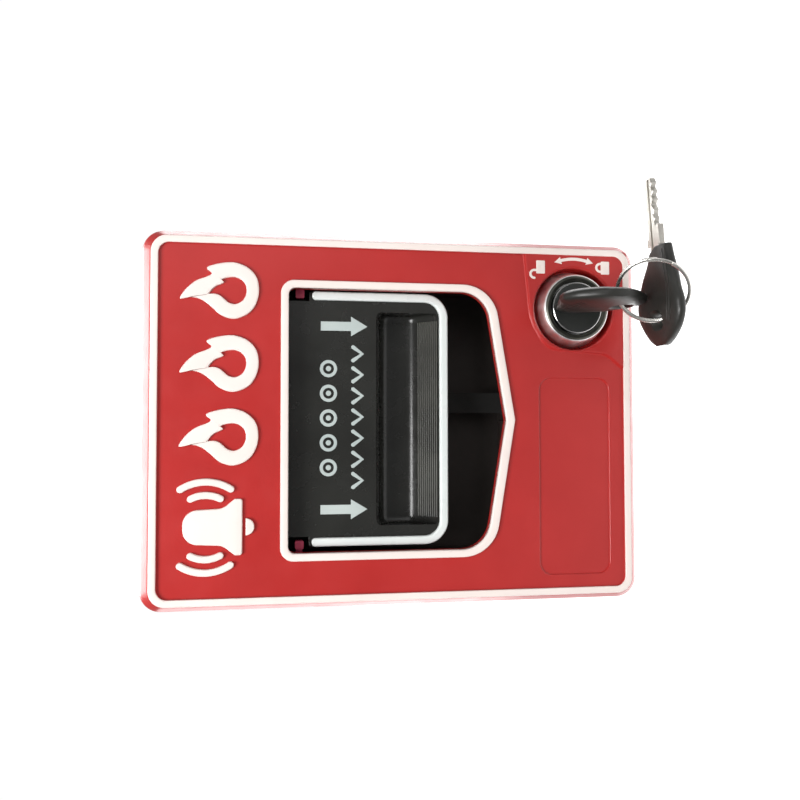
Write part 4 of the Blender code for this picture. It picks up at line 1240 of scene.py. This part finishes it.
def make_studio():
    scene = bpy.context.scene
    scene.view_settings.view_transform = "Standard"
    world = bpy.data.worlds.new("studio")
    world.use_nodes = True
    scene.world = world
    nodes = world.node_tree.nodes
    links = world.node_tree.links
    background = nodes["Background"]
    seen = nodes.new("ShaderNodeLightPath").outputs["Is Camera Ray"]
    strength = nodes.new("ShaderNodeMapRange")
    strength.inputs["To Min"].default_value = 0.22
    strength.inputs["To Max"].default_value = 1.02
    links.new(seen, strength.inputs["Value"])
    links.new(strength.outputs["Result"], background.inputs["Strength"])
    background.inputs["Color"].default_value = (1.0, 1.0, 1.0, 1.0)

    floor_mesh = bpy.data.meshes.new("floor")
    shape = bmesh.new()
    bmesh.ops.create_grid(shape, x_segments=8, y_segments=8, size=3.0)
    shape.to_mesh(floor_mesh)
    shape.free()
    floor = bpy.data.objects.new("floor", floor_mesh)
    floor.location = (0.0, 0.0, CAD_BOX[0].z - 0.25)
    scene.collection.objects.link(floor)
    pale = Finish("floor_pale", 0.7)
    pale.colour(pale.mix(pale.noise(3.0), (0.90, 0.90, 0.90), (0.94, 0.94, 0.94)))
    pale.shader.inputs["Emission Color"].default_value = (1.0, 1.0, 1.0, 1.0)
    far = pale.tree.nodes.new("ShaderNodeSeparateXYZ")
    pale.tree.links.new(pale.place, far.inputs["Vector"])
    glow = pale.spread(far.outputs["Y"], 0.0, 1.0, -0.1, 0.2)
    pale.tree.links.new(glow, pale.shader.inputs["Emission Strength"])
    floor.data.materials.append(pale.material)

    area_light("key", (-0.12, -0.38, 0.44), (0.0, 0.0, 0.02), 0.3, 3.7)
    area_light("fill", (0.35, -0.55, 0.10), (0.0, 0.0, 0.0), 0.5, 0.6)
    area_light("top_rim", (0.0, 0.30, 0.42), (0.0, -0.03, 0.06), 0.45, 5.0)
    area_light("left_rim", (-0.45, 0.35, 0.0), (-0.05, -0.03, 0.0), 0.4, 1.2)
    area_light("right_rim", (0.45, 0.35, 0.0), (0.05, -0.03, 0.0), 0.4, 1.6)
    area_light("bottom_rim", (0.0, 0.40, -0.22), (0.0, -0.03, -0.06), 0.3, 1.2)


def make_camera():
    data = bpy.data.cameras.new("camera")
    data.lens = CAMERA_LENS
    data.sensor_width = CAMERA_SENSOR
    data.clip_start = 0.01
    data.clip_end = 20.0
    camera = bpy.data.objects.new("camera", data)
    level = Matrix.Rotation(-CAMERA_HEADING, 4, "Z") @ Matrix.Rotation(pi / 2.0 + CAMERA_PITCH, 4, "X")
    camera.matrix_world = Matrix.Translation(CAMERA_PLACE) @ level @ Matrix.Rotation(CAMERA_ROLL, 4, "Z")
    bpy.context.scene.collection.objects.link(camera)
    bpy.context.scene.camera = camera


make_studio()
make_camera()
cover_shell()
rim_paint()
window_frame()
lock_pad()
heading()
bell_symbol()
lock_marks()
handle_body()
handle_marks()
handle_trim()
grip_ribs()
lock_front()
lock_plug()
key_head("key", "key", in_lock, KEY_HOLE, KEY_HOLE_LEAN, "key_bow")
head_ribs("key", "key", in_lock)
key_blade("key", "key", in_lock, "key_blade")
key_head("spare_key", "spare_key", on_ring, SPARE_HOLE, SPARE_HOLE_LEAN, "spare_key_bow")
head_ribs("spare_key", "spare_key", on_ring)
key_blade("spare_key", "spare_key", on_ring, "spare_key_blade")
split_ring()
push_spring("left", -SPRING_X)
push_spring("right", SPRING_X)
dress_cad()
